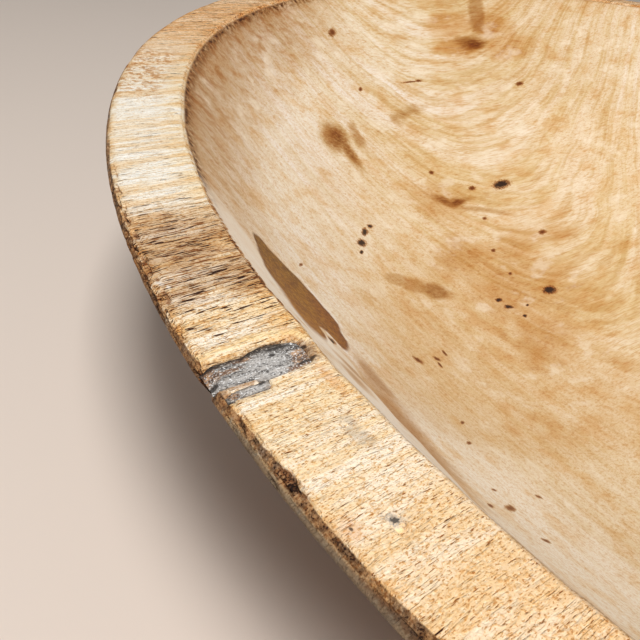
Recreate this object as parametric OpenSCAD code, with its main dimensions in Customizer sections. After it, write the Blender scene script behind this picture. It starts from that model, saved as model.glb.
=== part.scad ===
// Round wooden dough bowl, turned from one block of wood.
// The grain runs from the front of the bowl to the back, so the rim shows end grain there.
// Checks and pits in the end grain of the rim are filled with a grey compound.
// The origin is the middle of the foot, +Z is up and +Y runs along the grain to the back.

/* [Bowl] */
// Diameter over the outside of the rim
bowl_d = 520; // [440:5:600]
// Height from the underside of the foot to the top of the rim
bowl_h = 136; // [116:1:160]
// Width of the flat top of the rim
rim_w = 16; // [13:0.5:22]
// Height of the upright band outside the rim
band_h = 2; // [1.6:0.2:6]
// Diameter of the flat foot
foot_d = 184; // [150:2:220]
// Thickness of the wood in the middle of the floor
floor_t = 22; // [17:1:30]
// Radius of the worn outer edge of the rim
outer_edge_r = 1.6; // [0.6:0.2:1.6]
// Radius of the eased inner edge of the rim
inner_edge_r = 1.2; // [0.6:0.2:2]

/* [Filled check] */
// Turn of the check round the rim, from the front of the bowl
check_turn = -3.5; // [-20:0.5:20]
// Width of the check across the grain
check_w = 5.4; // [4:0.2:7]
// Depth of the check at the outer edge of the rim
check_outer_depth = 5; // [3:0.5:7]
// Depth of the check where it runs out near the inner edge
check_inner_depth = 1.6; // [1:0.2:2.8]

/* [Filled side check] */
// Width of the wood left between the check and the side check
bridge_w = 0.8; // [0.4:0.1:2]
// Width of the side check across the grain
side_check_w = 1.8; // [1:0.1:3]
// Length of the side check along the grain
side_check_l = 6; // [4:0.5:8]
// Distance of the side check from the outer edge of the rim
side_check_inset = 2; // [1.8:0.1:4]
// Depth of the side check
side_check_depth = 1.5; // [0.8:0.1:2.5]

/* [Filled pits] */
// Width of each pit in the top of the rim
pit_w = 2; // [1.2:0.1:3]
// Depth of each pit
pit_depth = 1.2; // [0.8:0.1:2]

/* [Filler] */
// How far the filler lies below the top of the rim
filler_sink = 0.4; // [0.1:0.1:0.6]

/* [Hidden] */
$fn = 240;

// Sides of a pit, which is a ragged hole and not a round one
pit_sides = 7;
// Reach of every cut past the faces that it opens
overrun = 6;

rim_r = bowl_d / 2;
mouth_r = rim_r - rim_w;
foot_r = foot_d / 2;
wall_h = bowl_h - band_h;
hollow_depth = bowl_h - floor_t;

// The outer wall is part of a ball that meets the band above and the foot below
outer_ball_z = (rim_r ^ 2 + wall_h ^ 2 - foot_r ^ 2) / (2 * wall_h);
outer_ball_r = norm([foot_r, outer_ball_z]);

// The hollow is part of a ball that meets the mouth above and the floor below
inner_ball_r = (mouth_r ^ 2 + hollow_depth ^ 2) / (2 * hollow_depth);
inner_ball_z = floor_t + inner_ball_r;

// Centre of the round on the eased inner edge, and the way from it to the hollow's centre
inner_edge_z = bowl_h - inner_edge_r;
inner_edge_x = sqrt((inner_ball_r + inner_edge_r) ^ 2 - (inner_ball_z - inner_edge_z) ^ 2);
inner_edge_way = [-inner_edge_x, inner_ball_z - inner_edge_z] / (inner_ball_r + inner_edge_r);

// Outline of the check, in shares of its width across the grain and of the rim's width along it
check_shares = [
    [-0.40, 0.20], [-0.39, 0.38], [-0.48, 0.52], [-0.60, 0.62], [-0.54, 0.78], [-0.44, 0.90],
    [0.05, 0.93], [0.42, 0.88], [0.44, 0.72], [0.46, 0.56], [0.40, 0.46], [0.31, 0.12]
];
check_side_share = 0.46;
check_mouth_shares = [-0.41, 0.30];

// Outline of the side check, in shares of its width and of its length
side_check_shares = [
    [-0.30, 0.04], [0.20, 0.00], [0.50, 0.22], [0.44, 0.60], [0.50, 0.84], [0.10, 1.00],
    [-0.36, 0.86], [-0.50, 0.46]
];
side_check_x = check_w * check_side_share + bridge_w + side_check_w / 2;

// Turn of each pit from the front of the bowl, and its place as a share of the rim's width
pit_turns = [-0.4, 2.9];
pit_place_shares = [0.76, 0.48];

// Puts a shape on the rim, where x runs round it and y runs from its outer edge to the middle
module on_rim(turn) {
    rotate([0, 0, turn])
        translate([0, -rim_r, bowl_h])
            children();
}

// Half section of the bowl with its edges still sharp
module sharp_section() {
    difference() {
        intersection() {
            translate([0, outer_ball_z]) circle(outer_ball_r);
            square([rim_r, bowl_h]);
        }
        translate([0, inner_ball_z]) circle(inner_ball_r);
    }
}

// What wear has taken off the outer edge of the rim
module outer_edge_loss() {
    translate([rim_r - outer_edge_r, bowl_h - outer_edge_r])
        difference() {
            square(outer_edge_r + overrun);
            circle(outer_edge_r);
        }
}

// What is taken off to ease the inner edge of the rim
module inner_edge_loss() {
    reach = inner_edge_r + overrun;
    translate([inner_edge_x, inner_edge_z])
        difference() {
            polygon([[0, 0], [0, reach], [-reach, reach], reach * inner_edge_way]);
            circle(inner_edge_r);
        }
}

// The turned bowl before any check or pit opened in it
module whole_bowl() {
    rotate_extrude()
        difference() {
            sharp_section();
            outer_edge_loss();
            inner_edge_loss();
        }
}

// Space of the check, open at the outer wall and shallower towards the hollow
module check_space() {
    mouth = [for (share = check_mouth_shares) [share * check_w, -overrun]];
    sides = [for (share = check_shares) [share.x * check_w, share.y * rim_w]];
    on_rim(check_turn)
        intersection() {
            translate([0, 0, -2 * check_outer_depth])
                linear_extrude(2 * check_outer_depth + overrun)
                    polygon(concat([mouth[0]], sides, [mouth[1]]));
            rotate([90, 0, 90])
                linear_extrude(2 * check_w, center = true)
                    polygon([
                        [-2 * overrun, -check_outer_depth], [0, -check_outer_depth],
                        [rim_w, -check_inner_depth], [rim_w, 2 * overrun], [-2 * overrun, 2 * overrun]
                    ]);
        }
}

// Space of the side check, a shallow slot in the top of the rim
module side_check_space() {
    on_rim(check_turn)
        translate([side_check_x, side_check_inset, -side_check_depth])
            linear_extrude(side_check_depth + overrun)
                polygon([for (share = side_check_shares) [share.x * side_check_w, share.y * side_check_l]]);
}

// Space of the pits in the top of the rim
module pit_spaces() {
    for (pit = [0 : len(pit_turns) - 1])
        on_rim(pit_turns[pit])
            translate([0, pit_place_shares[pit] * rim_w, -pit_depth])
                cylinder(d = pit_w, h = pit_depth + overrun, $fn = pit_sides);
}

// Filler that takes up a space in the rim, level with the walls and a little below the top
module filler() {
    intersection() {
        whole_bowl();
        children();
        cylinder(r = rim_r + overrun, h = bowl_h - filler_sink);
    }
}

module bowl_body() {
    color("burlywood")
        difference() {
            whole_bowl();
            check_space();
            side_check_space();
            pit_spaces();
        }
}

module check_filler() {
    color("slategray") filler() check_space();
}

module side_check_filler() {
    color("slategray") filler() side_check_space();
}

module pit_fillers() {
    color("dimgray") filler() pit_spaces();
}

bowl_body();
check_filler();
side_check_filler();
pit_fillers();
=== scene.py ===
"""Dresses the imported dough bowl: worn turned wood, filled checks and pits, and a plain stage."""

import math
from types import SimpleNamespace

import bmesh
import bpy
import numpy as np
from mathutils import Matrix, Vector, noise


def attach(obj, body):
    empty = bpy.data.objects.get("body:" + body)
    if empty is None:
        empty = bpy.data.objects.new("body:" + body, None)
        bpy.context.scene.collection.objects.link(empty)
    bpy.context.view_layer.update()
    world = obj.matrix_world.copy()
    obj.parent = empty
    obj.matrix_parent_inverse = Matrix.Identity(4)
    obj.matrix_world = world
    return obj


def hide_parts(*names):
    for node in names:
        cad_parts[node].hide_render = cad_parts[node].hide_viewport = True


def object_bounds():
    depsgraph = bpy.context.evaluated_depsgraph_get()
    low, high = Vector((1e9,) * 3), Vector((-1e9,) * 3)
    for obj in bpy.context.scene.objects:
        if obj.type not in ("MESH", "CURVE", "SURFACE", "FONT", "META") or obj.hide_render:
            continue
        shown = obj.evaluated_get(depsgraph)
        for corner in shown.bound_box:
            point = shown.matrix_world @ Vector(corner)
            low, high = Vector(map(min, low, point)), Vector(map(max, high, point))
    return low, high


bl_info = {
    "name": "Dough bowl",
    "version": (1, 0, 0),
    "blender": (4, 5, 0),
    "location": "View3D > Sidebar > Dough bowl",
    "description": "Models a worn wooden dough bowl with filled checks over its packed CAD frame",
    "category": "Object",
}

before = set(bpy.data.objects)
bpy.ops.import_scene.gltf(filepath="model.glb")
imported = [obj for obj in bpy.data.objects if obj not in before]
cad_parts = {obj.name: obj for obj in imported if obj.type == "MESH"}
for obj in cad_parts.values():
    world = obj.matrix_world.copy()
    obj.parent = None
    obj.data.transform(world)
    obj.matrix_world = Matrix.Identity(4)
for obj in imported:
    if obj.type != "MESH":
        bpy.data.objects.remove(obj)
CAD_BOX = [list(corner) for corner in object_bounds()]

# Sizes below are in millimetres, and Blender works in metres
MM = 0.001
# Corners closer than this, in metres, are one
MERGE = 0.00001
# Edges sharper than this, in degrees, stay sharp
SMOOTH_ANGLE = 50.0

# The bowl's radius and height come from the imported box
RIM_R = CAD_BOX[1][0] / MM
BOWL_H = CAD_BOX[1][2] / MM
# Width of the rim and round of its outer edge, as in the CAD
RIM_W = 16.0
EDGE_R = 1.6

# Turned section, in azimuth degrees. The grain runs along Y and the bowl's front is at 270
FRONT_START = 226.0
FINE_START = 253.0
FINE_END = 285.0
FRONT_STEPS = 70
FINE_STEPS = 112
REST_STEPS = 190
# The check and the chipped edge beside it get the closest mesh
CHECK_START = 263.2
CHECK_END = 269.4
EDGE_START = 253.5
EDGE_END = 275.5
# How far down, and how far in from the outer edge, the closer mesh reaches
FINE_DROP = 3.2
CLOSE_DROP = 2.6
EDGE_WIDTH = 2.6
# Rings of corners on the foot, its eased edge as steps in and up, and where the wall starts
FOOT_RINGS = (0.0, 30.0, 60.0, 82.0)
FOOT_EDGE = ((1.2, 0.0), (0.4, 0.15))
WALL_START = 0.9
# Steps along the section. The walls have a power too, which draws their steps together at the rim
WALL_STEPS = (17, 1.8)
HOLLOW_STEPS = (40, 1.35)
RIM_STEPS = 16
OUTER_EDGE_STEPS = 7
INNER_EDGE_STEPS = 5

# Filled check: turn from the front, outline round the rim and in from its edge, and its depths
CHECK_TURN = -3.5
CHECK_OUTLINE = [
    (-2.40, -4.0), (-2.45, 0.2), (-2.70, 2.4), (-2.75, 4.4), (-2.65, 6.3), (-3.20, 7.7), (-3.50, 9.0),
    (-3.50, 10.8), (-3.30, 12.5), (-2.80, 14.2), (-2.10, 15.0), (0.10, 15.2), (2.00, 14.8),
    (2.20, 12.4), (2.35, 9.9), (2.60, 7.8), (1.95, 5.8), (1.85, 3.4), (1.70, 1.5), (1.35, -0.3),
    (1.30, -4.0),
]
CHECK_DEPTHS = (5.0, 1.6)
# A thin crack beside the check, told in the same way
SIDE_CRACK = [(-4.20, 5.0), (-4.35, 7.0), (-4.43, 9.8), (-4.30, 13.0), (-3.85, 15.6)]

# Side check: outline and depth
SIDE_CHECK_OUTLINE = [
    (3.85, 1.0), (3.15, 2.2), (3.05, 4.0), (2.90, 5.9), (3.00, 7.5), (3.90, 7.3), (4.45, 6.1),
    (4.35, 4.1), (4.35, 2.2), (4.30, 1.1),
]
SIDE_CHECK_DEPTH = 1.5

# Filled pits: turn from the front and place across the rim in millimetres from its outer edge
PITS = [(-0.4, 12.16), (2.9, 7.68)]
PIT_WIDTH = 2.0
PIT_DEPTH = 1.2
FILLER_SINK = 0.4
# A filler's underside is first drawn down this far, to tell it from the top
FIRST_DROP = 0.5

# Where the outer edge is chipped most: azimuth, half spread in degrees, strength
EDGE_CHIPS = [
    (249.0, 4.0, 0.6), (256.5, 4.0, 0.8), (262.0, 2.0, 0.6), (266.0, 0.6, 0.8), (268.0, 0.8, 0.6),
    (270.5, 0.9, 0.9), (236.0, 5.0, 0.3), (96.0, 9.0, 0.5), (20.0, 12.0, 0.4), (330.0, 10.0, 0.45),
    (165.0, 12.0, 0.4),
]

# How dirty the outer edge is: azimuth, strength and how far in from the edge the dirt reaches
EDGE_DIRT = [
    (0.0, 0.5), (60.0, 0.35), (130.0, 0.55), (200.0, 0.6), (236.0, 0.75), (246.0, 0.8), (252.0, 0.95),
    (258.0, 0.75), (262.0, 0.75), (265.0, 0.75), (267.0, 0.95), (270.0, 1.0), (272.0, 0.85),
    (274.0, 1.0), (288.0, 0.9), (310.0, 0.5), (360.0, 0.5),
]
EDGE_REACH = [
    (0.0, 0.2), (236.0, 0.4), (246.0, 0.5), (252.0, 0.5), (258.0, 0.1), (262.0, -0.1), (265.0, 0.3),
    (268.0, 0.8), (270.0, 1.2), (272.0, 1.0), (274.0, 1.2), (276.0, 1.7), (288.0, 1.6), (310.0, 0.4),
    (360.0, 0.2),
]

# Azimuth of the middle of the groove under the outer edge, painted dark with grime and painted shade
GROOVE_MIDDLE = 281.0

# How far the inner edge stands in past its true ring: azimuth and millimetres
INNER_EDGE_DRIFT = [
    (0.0, 0.0), (200.0, 0.0), (222.0, -0.3), (232.0, 0.1), (242.0, 0.9), (262.5, 0.9), (265.2, 1.5),
    (266.6, 0.9), (268.0, 0.8), (269.5, 1.2), (273.0, 0.9), (285.0, 0.6), (320.0, 0.0), (360.0, 0.0),
]

# How dirty the inner edge is: azimuth and strength
BRINK_DIRT = [
    (0.0, 0.3), (60.0, 0.5), (150.0, 0.4), (196.0, 0.35), (206.0, 0.6), (238.0, 0.55), (246.0, 0.45),
    (254.0, 0.7), (262.0, 1.0), (265.0, 0.8), (267.0, 0.45), (271.0, 0.15), (286.0, 0.15), (300.0, 0.5),
    (360.0, 0.3),
]

# Lower bound of the scraped strip under the inner edge: azimuth and depth below the rim
SCRAPED_STRIP = [
    (247.0, 0.0), (250.0, 0.0), (252.0, 2.0), (254.6, 12.5), (257.0, 13.0), (259.0, 13.0),
    (260.6, 20.0), (261.6, 24.5), (262.9, 24.5), (264.3, 22.5), (265.6, 22.0), (267.1, 21.5),
    (268.8, 20.5), (270.0, 19.5), (271.5, 17.0), (273.0, 9.0), (275.0, 1.0),
]

# Round the leaf-shaped stain: azimuth and depth below the rim
LEAF_STAIN = [
    (252.8, 15.5), (254.6, 14.3), (256.2, 12.8), (257.7, 11.4), (258.5, 11.5), (259.4, 11.7),
    (260.3, 11.7), (261.2, 11.3), (261.8, 11.6), (262.2, 12.4), (262.2, 14.2), (262.2, 15.8),
    (261.6, 18.7), (260.8, 20.1), (260.0, 20.9), (259.4, 24.4), (260.1, 26.6), (260.2, 28.4),
    (258.7, 31.9), (257.6, 32.2), (256.2, 33.4), (255.5, 32.7), (254.9, 31.3), (254.2, 30.1),
    (253.8, 28.3), (253.4, 26.9), (253.3, 24.6), (253.2, 22.2), (253.1, 20.4), (253.0, 18.7),
    (252.6, 17.0),
]
LEAF_MIDDLE = (256.8, 21.5)

# Marks in the hollow: azimuth, depth below the rim, half length, half width and turn on the wall
DARK_SPECKS = [
    (183.9, 76.3, 6.6, 2.2, 0), (230.3, 58.1, 3.5, 1.2, -16), (233.6, 57.1, 3.7, 1.4, -29),
    (227.7, 59.6, 2.0, 0.8, -29), (235.9, 56.7, 1.8, 0.6, -26), (200.9, 99.4, 4.7, 2.1, -19),
    (220.5, 92.0, 2.4, 0.9, -32), (220.7, 93.9, 2.9, 1.0, -42), (220.5, 96.7, 1.6, 0.7, -29),
    (215.1, 96.9, 1.1, 0.5, -22), (260.5, 23.6, 2.4, 0.9, -60), (62.0, 66.0, 3.0, 1.2, 20),
    (340.0, 48.0, 2.2, 0.9, 60), (118.0, 88.0, 3.6, 1.4, -30), (20.0, 95.0, 2.6, 1.0, 10),
]
BROWN_SPECKS = [
    (190.9, 37.6, 6.5, 0.35, -5), (189.1, 37.8, 2.4, 0.6, -3), (192.8, 74.4, 2.5, 1.0, -4),
    (182.6, 90.4, 2.6, 1.0, 5), (196.6, 82.1, 1.4, 0.7, -6), (203.6, 88.1, 1.6, 0.7, -11),
    (206.9, 92.8, 1.4, 0.6, -16), (200.3, 65.6, 1.8, 0.8, -8), (202.4, 14.6, 2.8, 1.4, 11),
    (203.1, 34.9, 1.5, 0.7, 5), (249.9, 31.9, 2.0, 0.35, -37), (167.3, 42.1, 2.5, 1.0, 12),
    (271.5, 39.8, 3.7, 0.7, -82), (271.8, 28.9, 1.8, 0.4, -81), (273.9, 38.8, 2.0, 0.5, 84),
    (270.1, 59.2, 1.4, 0.5, 81), (270.0, 41.7, 1.5, 0.3, -84), (80.0, 40.0, 2.4, 1.0, 30),
    (261.9, 57.9, 1.4, 0.4, -64), (264.9, 52.3, 1.6, 0.4, -70), (253.1, 60.3, 2.0, 1.1, -80),
    (248.2, 72.0, 1.1, 0.9, 0), (250.6, 67.9, 1.5, 0.8, -74), (251.7, 67.6, 1.0, 0.8, 0),
]
BROWN_STAINS = [
    (216.8, 42.0, 9.0, 5.4, -10), (216.0, 47.6, 7.5, 3.8, 80), (203.4, 73.2, 6.0, 2.4, -44),
    (200.5, 75.2, 5.1, 2.1, -12), (174.6, 25.4, 8.1, 3.0, 8), (40.0, 34.0, 9.0, 4.0, 15),
    (310.0, 62.0, 12.0, 5.0, -20),
]
STAIN_CORES = [(215.2, 42.2, 5.0, 3.2, -10), (173.6, 25.8, 4.6, 2.2, 8)]
SOFT_STAINS = [
    (211.4, 46.2, 8.0, 4.6, 60), (195.6, 47.6, 14.0, 3.4, 4), (199.5, 48.4, 6.0, 3.2, -5),
    (172.2, 12.0, 15.0, 5.5, 75), (175.8, 23.6, 9.0, 3.0, 4),
]
# Painted shade of the creases below the scraped strip, in brown
CREASE_SHADES = [
    (266.8, 27.8, 16.0, 7.0, -22), (264.2, 18.5, 5.0, 2.2, 40), (261.6, 33.0, 7.0, 4.0, 0),
    (265.6, 13.5, 3.0, 4.0, 0),
]

LONG_STAINS = [
    (235.9, 66.6, 9.5, 3.0, -49), (234.0, 72.0, 11.0, 3.8, -48), (232.0, 76.6, 9.5, 4.4, -46),
]
LONG_ENDS = [(231.6, 77.6, 9.0, 3.8, -46)]
FAINT_LINES = [(194.3, 80.5, 15.5, 1.5, -27), (199.0, 75.6, 9.0, 1.2, -10)]
ORANGE_TINTS = [
    (178.0, 17.5, 18.0, 8.5, -1), (170.0, 18.0, 16.0, 9.0, 4), (178.6, 27.0, 17.0, 5.2, -5),
    (168.5, 27.5, 15.0, 7.0, 6), (55.0, 25.0, 30.0, 10.0, 0),
]
OCHRE_TINTS = [
    (204.9, 95.4, 43.6, 18.2, -22), (204.2, 72.3, 21.8, 11.7, -21), (183.0, 91.0, 18.0, 7.0, 0),
    (214.0, 83.0, 26.0, 10.0, -22), (192.0, 90.0, 24.0, 9.0, -10), (226.0, 99.0, 30.0, 10.0, -30),
    (90.0, 70.0, 30.0, 9.0, 10), (330.0, 80.0, 24.0, 8.0, 30),
]
# Where the oiled wood of the floor begins: azimuth and depth below the rim
OILED_EDGE = [
    (200.0, 90.0), (212.0, 77.0), (226.0, 72.0), (238.0, 62.0), (250.0, 48.0), (262.0, 32.0),
    (275.0, 60.0),
]
# Pale tints; the two at the front, at azimuths 269 to 275, lighten the near wall partly as painted
# light
PALE_TINTS = [
    (216.0, 30.8, 27.8, 9.5, 4), (174.6, 59.8, 38.8, 16.0, 1), (180.0, 69.0, 20.0, 9.0, 0),
    (239.4, 34.7, 35.7, 11.7, -27), (186.2, 64.2, 23.2, 9.0, -9), (269.4, 46.7, 18.3, 9.0, -68),
    (274.5, 33.0, 22.0, 13.0, -40), (30.0, 60.0, 40.0, 14.0, 0), (300.0, 35.0, 40.0, 12.0, 0),
]

# Marks on the rim: azimuth, place in from the outer edge, half length, half width and turn
RIM_GREY_MARKS = [
    (270.3, 12.3, 2.4, 1.2, 10), (272.9, 7.7, 1.3, 0.9, 30), (269.7, 12.5, 1.4, 0.9, 0),
    (267.52, 4.2, 0.5, 2.8, 0),
]
RIM_BROWN_MARKS = [(267.02, 4.2, 0.40, 3.2, 0), (266.5, 15.6, 2.5, 1.2, 0), (267.2, 0.8, 1.4, 1.0, 0)]
RIM_ORANGE_MARKS = [(272.5, 2.7, 1.5, 1.1, 0), (265.4, 14.6, 1.6, 0.9, 0), (268.0, 15.2, 3.0, 0.8, 0)]
RIM_DARK_MARKS = [
    (272.5, 2.9, 0.24, 0.18, 0), (238.0, 14.6, 0.25, 1.5, 10), (266.9, 14.9, 0.4, 0.9, 20),
    (266.2, 15.3, 0.3, 0.7, -10),
]
RIM_WHITE_MARKS = [(261.4, 1.6, 0.7, 0.4, 20), (261.7, 2.6, 0.4, 0.3, 0)]

# Marks on the fillers, told in the same way: silvery stretches, caught wood and cracks
CHECK_SILVER = [(266.75, 4.5, 0.55, 3.6, 4), (266.45, 9.0, 1.5, 3.6, 0), (266.9, 9.5, 0.8, 3.0, 0)]
CHECK_DUST = [
    (266.2, 0.6, 1.5, 1.5, 0), (266.35, 3.2, 0.35, 2.2, 4), (266.7, 14.2, 2.0, 1.6, 0),
    (267.0, 12.6, 0.5, 1.6, 0), (266.05, 6.0, 0.4, 1.6, 0),
]
CHECK_CRACKS = [
    (266.0, 0.9, 0.3, 1.1, 0), (266.72, 0.4, 0.35, 1.0, 6), (265.95, 11.5, 0.35, 2.2, 0),
    (266.9, 14.0, 0.25, 1.2, 0), (266.2, 10.4, 0.3, 0.5, 0),
]
SIDE_SILVER = [(267.35, 5.2, 0.6, 2.0, 0)]
SIDE_DUST = [(267.35, 2.0, 0.5, 0.7, 0), (267.45, 7.5, 0.4, 0.5, 0)]
SIDE_CRACKS = [(267.2, 6.4, 0.2, 0.6, 0)]
PIT_GREY = [(269.55, 12.4, 0.9, 0.7, 20), (272.9, 7.6, 1.0, 0.8, 30)]
PIT_SILVER = [(269.75, 12.8, 0.5, 0.35, 0), (273.05, 7.2, 0.45, 0.35, 0)]
PIT_CRACKS = [
    (269.5, 12.5, 0.5, 0.30, 20), (269.42, 12.2, 0.22, 0.5, 0), (272.9, 7.6, 0.62, 0.25, 40),
    (272.95, 7.7, 0.2, 0.5, 10),
]

# The pith that the growth rings lie round, as x and z
PITH = (10.0, 240.0)
# Noises of the grain: name, whether it follows the rings, size on x, y and z, detail, roughness
GRAIN_NOISES = [
    ("Tone", False, (2.4, 26.0, 2.4), 3.0, 0.6),
    ("Band", False, (0.95, 13.0, 0.95), 2.0, 0.55),
    ("Line", False, (0.34, 4.6, 0.34), 2.0, 0.55),
    ("Pore", False, (0.20, 1.3, 0.20), 1.0, 0.5),
    ("Fleck", False, (0.22, 0.5, 0.22), 1.0, 0.5),
    ("Ring", True, (3.0, 130.0, 90.0), 3.0, 0.55),
    ("Fine ring", True, (0.8, 46.0, 30.0), 2.0, 0.55),
    ("Grit", False, (0.44, 0.62, 0.44), 3.0, 0.7),
    ("Crack", False, (0.27, 3.6, 0.27), 1.0, 0.5),
]
# Kinds of sockets on the shader groups
VECTOR = "NodeSocketVector"
FLOAT = "NodeSocketFloat"

# Lamps as name, place in metres, size and colour
KEY_LAMP = ("key_lamp", (0.80, -0.56, 1.40), 0.36, (1.0, 0.985, 0.965))
FILL_LAMP = ("fill_lamp", (-1.3, 0.6, 1.2), 1.2, (0.98, 0.99, 1.0))
LAMP_AIM = (0.0, 0.0, 0.1)
SKY_COLOUR = (1.0, 0.975, 0.95, 1.0)
FLOOR_SIZE = 12.0
# The camera's place, and its yaw, pitch and roll in degrees
CAMERA_PLACE = (37.64, -289.83, 193.2)
CAMERA_TURN = (-48.17, 36.63, 9.61)
# Its lens and its picture's width in millimetres, and how near it sees in metres
LENS = 36.0
SENSOR_WIDTH = 36.0
CLIP_START = 0.005


def srgb(red, green, blue):
    """Linear colour of one that is written as it looks on a screen, from 0 to 255."""
    linear = []
    for part in (red, green, blue):
        share = part / 255.0
        linear.append(share / 12.92 if share <= 0.04045 else ((share + 0.055) / 1.055) ** 2.4)
    return tuple(linear)


def number_property(name, description, default, **kind):
    """A number that a user may change."""
    return bpy.props.FloatProperty(name=name, description=description, default=default, **kind)


def length_property(name, description, millimetres):
    """A length that a user may change."""
    return number_property(
        name, description, millimetres * MM, min=0.0, subtype="DISTANCE", unit="LENGTH")


def colour_property(name, description, red, green, blue):
    """A colour that a user may change."""
    return bpy.props.FloatVectorProperty(
        name=name, description=description, default=srgb(red, green, blue), size=3, min=0.0, max=1.0,
        subtype="COLOR")


class BowlSizes(bpy.types.PropertyGroup):
    """Sizes of the turned bowl and of its wear."""

    rim_width: length_property("Rim width", "Width of the flat rim", RIM_W)
    band_height: length_property("Band height", "Upright band outside the rim", 2.0)
    foot_radius: length_property("Foot radius", "Radius of the flat foot", 92.0)
    floor_thickness: length_property("Floor thickness", "Wood under the hollow", 22.0)
    outer_edge: length_property("Outer edge", "Round on the outer edge of the rim", EDGE_R)
    inner_edge: length_property("Inner edge", "Round on the inner edge of the rim", 1.2)
    chip_depth: length_property("Chip depth", "Deepest chip out of the outer edge", 0.85)
    tool_marks: length_property("Tool marks", "Depth of the waves that hollowing left", 0.35)


class WoodColours(bpy.types.PropertyGroup):
    """Colours of the old wood."""

    rim_cream: colour_property("Rim cream", "Pale dry wood of the rim", 255, 242, 222)
    rim_gold: colour_property("Rim gold", "Golden wood of the rim", 247, 222, 182)
    rim_pore: colour_property("Rim pore", "Dark open pores", 72, 46, 30)
    weathered: colour_property("Weathered", "Tint of weathered wood", 216, 203, 193)
    hollow_cream: colour_property("Hollow cream", "Worn wood of the hollow", 237, 227, 217)
    hollow_gold: colour_property("Hollow gold", "Oiled wood of the floor", 231, 211, 182)
    ochre: colour_property("Ochre", "Tint of oiled patches", 238, 220, 193)
    # Pale also lightens the near wall, partly as painted light
    pale: colour_property("Pale", "Scrubbed patches", 238, 226, 207)
    # Tan is soaked into the left wall of the hollow under the rim as painted shade
    tan: colour_property("Tan", "Tint of handled wood below the rim", 206, 184, 158)
    stain: colour_property("Stain", "Tint of brown stains", 160, 112, 60)
    speck: colour_property("Speck", "Dark specks", 34, 16, 12)
    outside: colour_property("Outside", "Handled wood of the outer wall", 162, 125, 91)
    grime: colour_property("Grime", "Dirt in chips and cracks", 40, 26, 18)


class FillerColours(bpy.types.PropertyGroup):
    """Colours of the grey filler."""

    body: colour_property("Body", "Grey of the filler", 156, 150, 144)
    fleck: colour_property("Fleck", "Silvery flecks", 240, 240, 240)
    speck: colour_property("Speck", "Dark grains", 44, 40, 38)
    wood_dust: colour_property("Wood dust", "Brown wood caught in the filler", 188, 144, 102)


class StageLook(bpy.types.PropertyGroup):
    """Floor and light."""

    floor: colour_property("Floor", "Floor colour", 226, 213, 202)
    key_power: number_property("Key", "Power of the main lamp", 28.0, unit="POWER")
    fill_power: number_property("Fill", "Power of the fill lamp", 2.0, unit="POWER")
    sky: number_property("Sky", "Strength of the even light", 0.23, subtype="FACTOR")


# Mesh work


def clear_selection():
    """Leaves edit mode and deselects everything."""
    if bpy.context.object and bpy.context.object.mode != "OBJECT":
        bpy.ops.object.mode_set(mode="OBJECT")
    bpy.ops.object.select_all(action="DESELECT")


def corners(piece):
    """Corners of a mesh as an array in millimetres."""
    flat = np.empty(len(piece.data.vertices) * 3, dtype=np.float32)
    piece.data.vertices.foreach_get("co", flat)
    return flat.reshape(-1, 3).astype(float) / MM


def move_corners(piece, places):
    """Puts a mesh's corners at places given in millimetres."""
    piece.data.vertices.foreach_set("co", (places * MM).astype(np.float32).ravel())
    piece.data.update()


def paint(piece, name, values):
    """Stores one number for each corner, for the material to read."""
    layer = piece.data.attributes.new(name=name, type="FLOAT", domain="POINT")
    layer.data.foreach_set("value", np.asarray(values, dtype=np.float32))


def ease(values, low, high):
    """Smooth step from 0 at low to 1 at high."""
    share = np.clip((np.asarray(values, dtype=float) - low) / (high - low), 0.0, 1.0)
    return share * share * (3.0 - 2.0 * share)


def clouds(points, reach, rounds=1):
    """Noise from about -1 to 1 at points, where reach is its patches' size on x, y and z."""
    total = np.zeros(len(points))
    strength = 1.0
    size = np.asarray(reach, dtype=float)
    for turn in range(rounds):
        shifted = points / size + 17.3 * (turn + 1)
        total += strength * np.array([noise.noise(Vector(point)) for point in shifted])
        strength *= 0.5
        size = size * 0.5
    return total


def finish_piece(piece, node, material):
    """Gives a finished piece its material and its body, and hides the CAD node that it stands for."""
    piece.data.materials.clear()
    piece.data.materials.append(material)
    bpy.context.view_layer.objects.active = piece
    piece.select_set(True)
    bpy.ops.object.shade_smooth_by_angle(angle=math.radians(SMOOTH_ANGLE))
    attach(piece, "root")
    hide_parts(node)
    clear_selection()


def on_rim(points, turn):
    """Points as the rim sees them at a turn from the front: round it, in from its edge and up."""
    angle = math.radians(turn)
    cos, sin = math.cos(angle), math.sin(angle)
    across = points[:, 0] * cos + points[:, 1] * sin
    inward = -points[:, 0] * sin + points[:, 1] * cos + RIM_R
    return np.stack([across, inward, points[:, 2] - BOWL_H], axis=1)


def off_rim(points, turn):
    """The way back from on_rim."""
    angle = math.radians(turn)
    cos, sin = math.cos(angle), math.sin(angle)
    across, inward = points[:, 0], points[:, 1] - RIM_R
    x, y = across * cos - inward * sin, across * sin + inward * cos
    return np.stack([x, y, points[:, 2] + BOWL_H], axis=1)


def bound(table, places):
    """Value of a table of (place, value) at places."""
    return np.interp(places, [row[0] for row in table], [row[1] for row in table])


# The turned bowl


def ball_sizes(sizes):
    """Centre height and radius of the outer and of the inner ball, in millimetres."""
    foot, floor = sizes.foot_radius / MM, sizes.floor_thickness / MM
    wall = BOWL_H - sizes.band_height / MM
    outer_z = (RIM_R ** 2 + wall ** 2 - foot ** 2) / (2.0 * wall)
    mouth, depth = RIM_R - sizes.rim_width / MM, BOWL_H - floor
    inner_r = (mouth ** 2 + depth ** 2) / (2.0 * depth)
    return outer_z, math.hypot(foot, outer_z), floor + inner_r, inner_r


def hollow_radius(sizes, depth):
    """Radius of the hollow at a depth below the rim, and of the ball that it is part of."""
    _, _, inner_z, inner_r = ball_sizes(sizes)
    return math.sqrt(inner_r ** 2 - (inner_z - BOWL_H + depth) ** 2), inner_r


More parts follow.
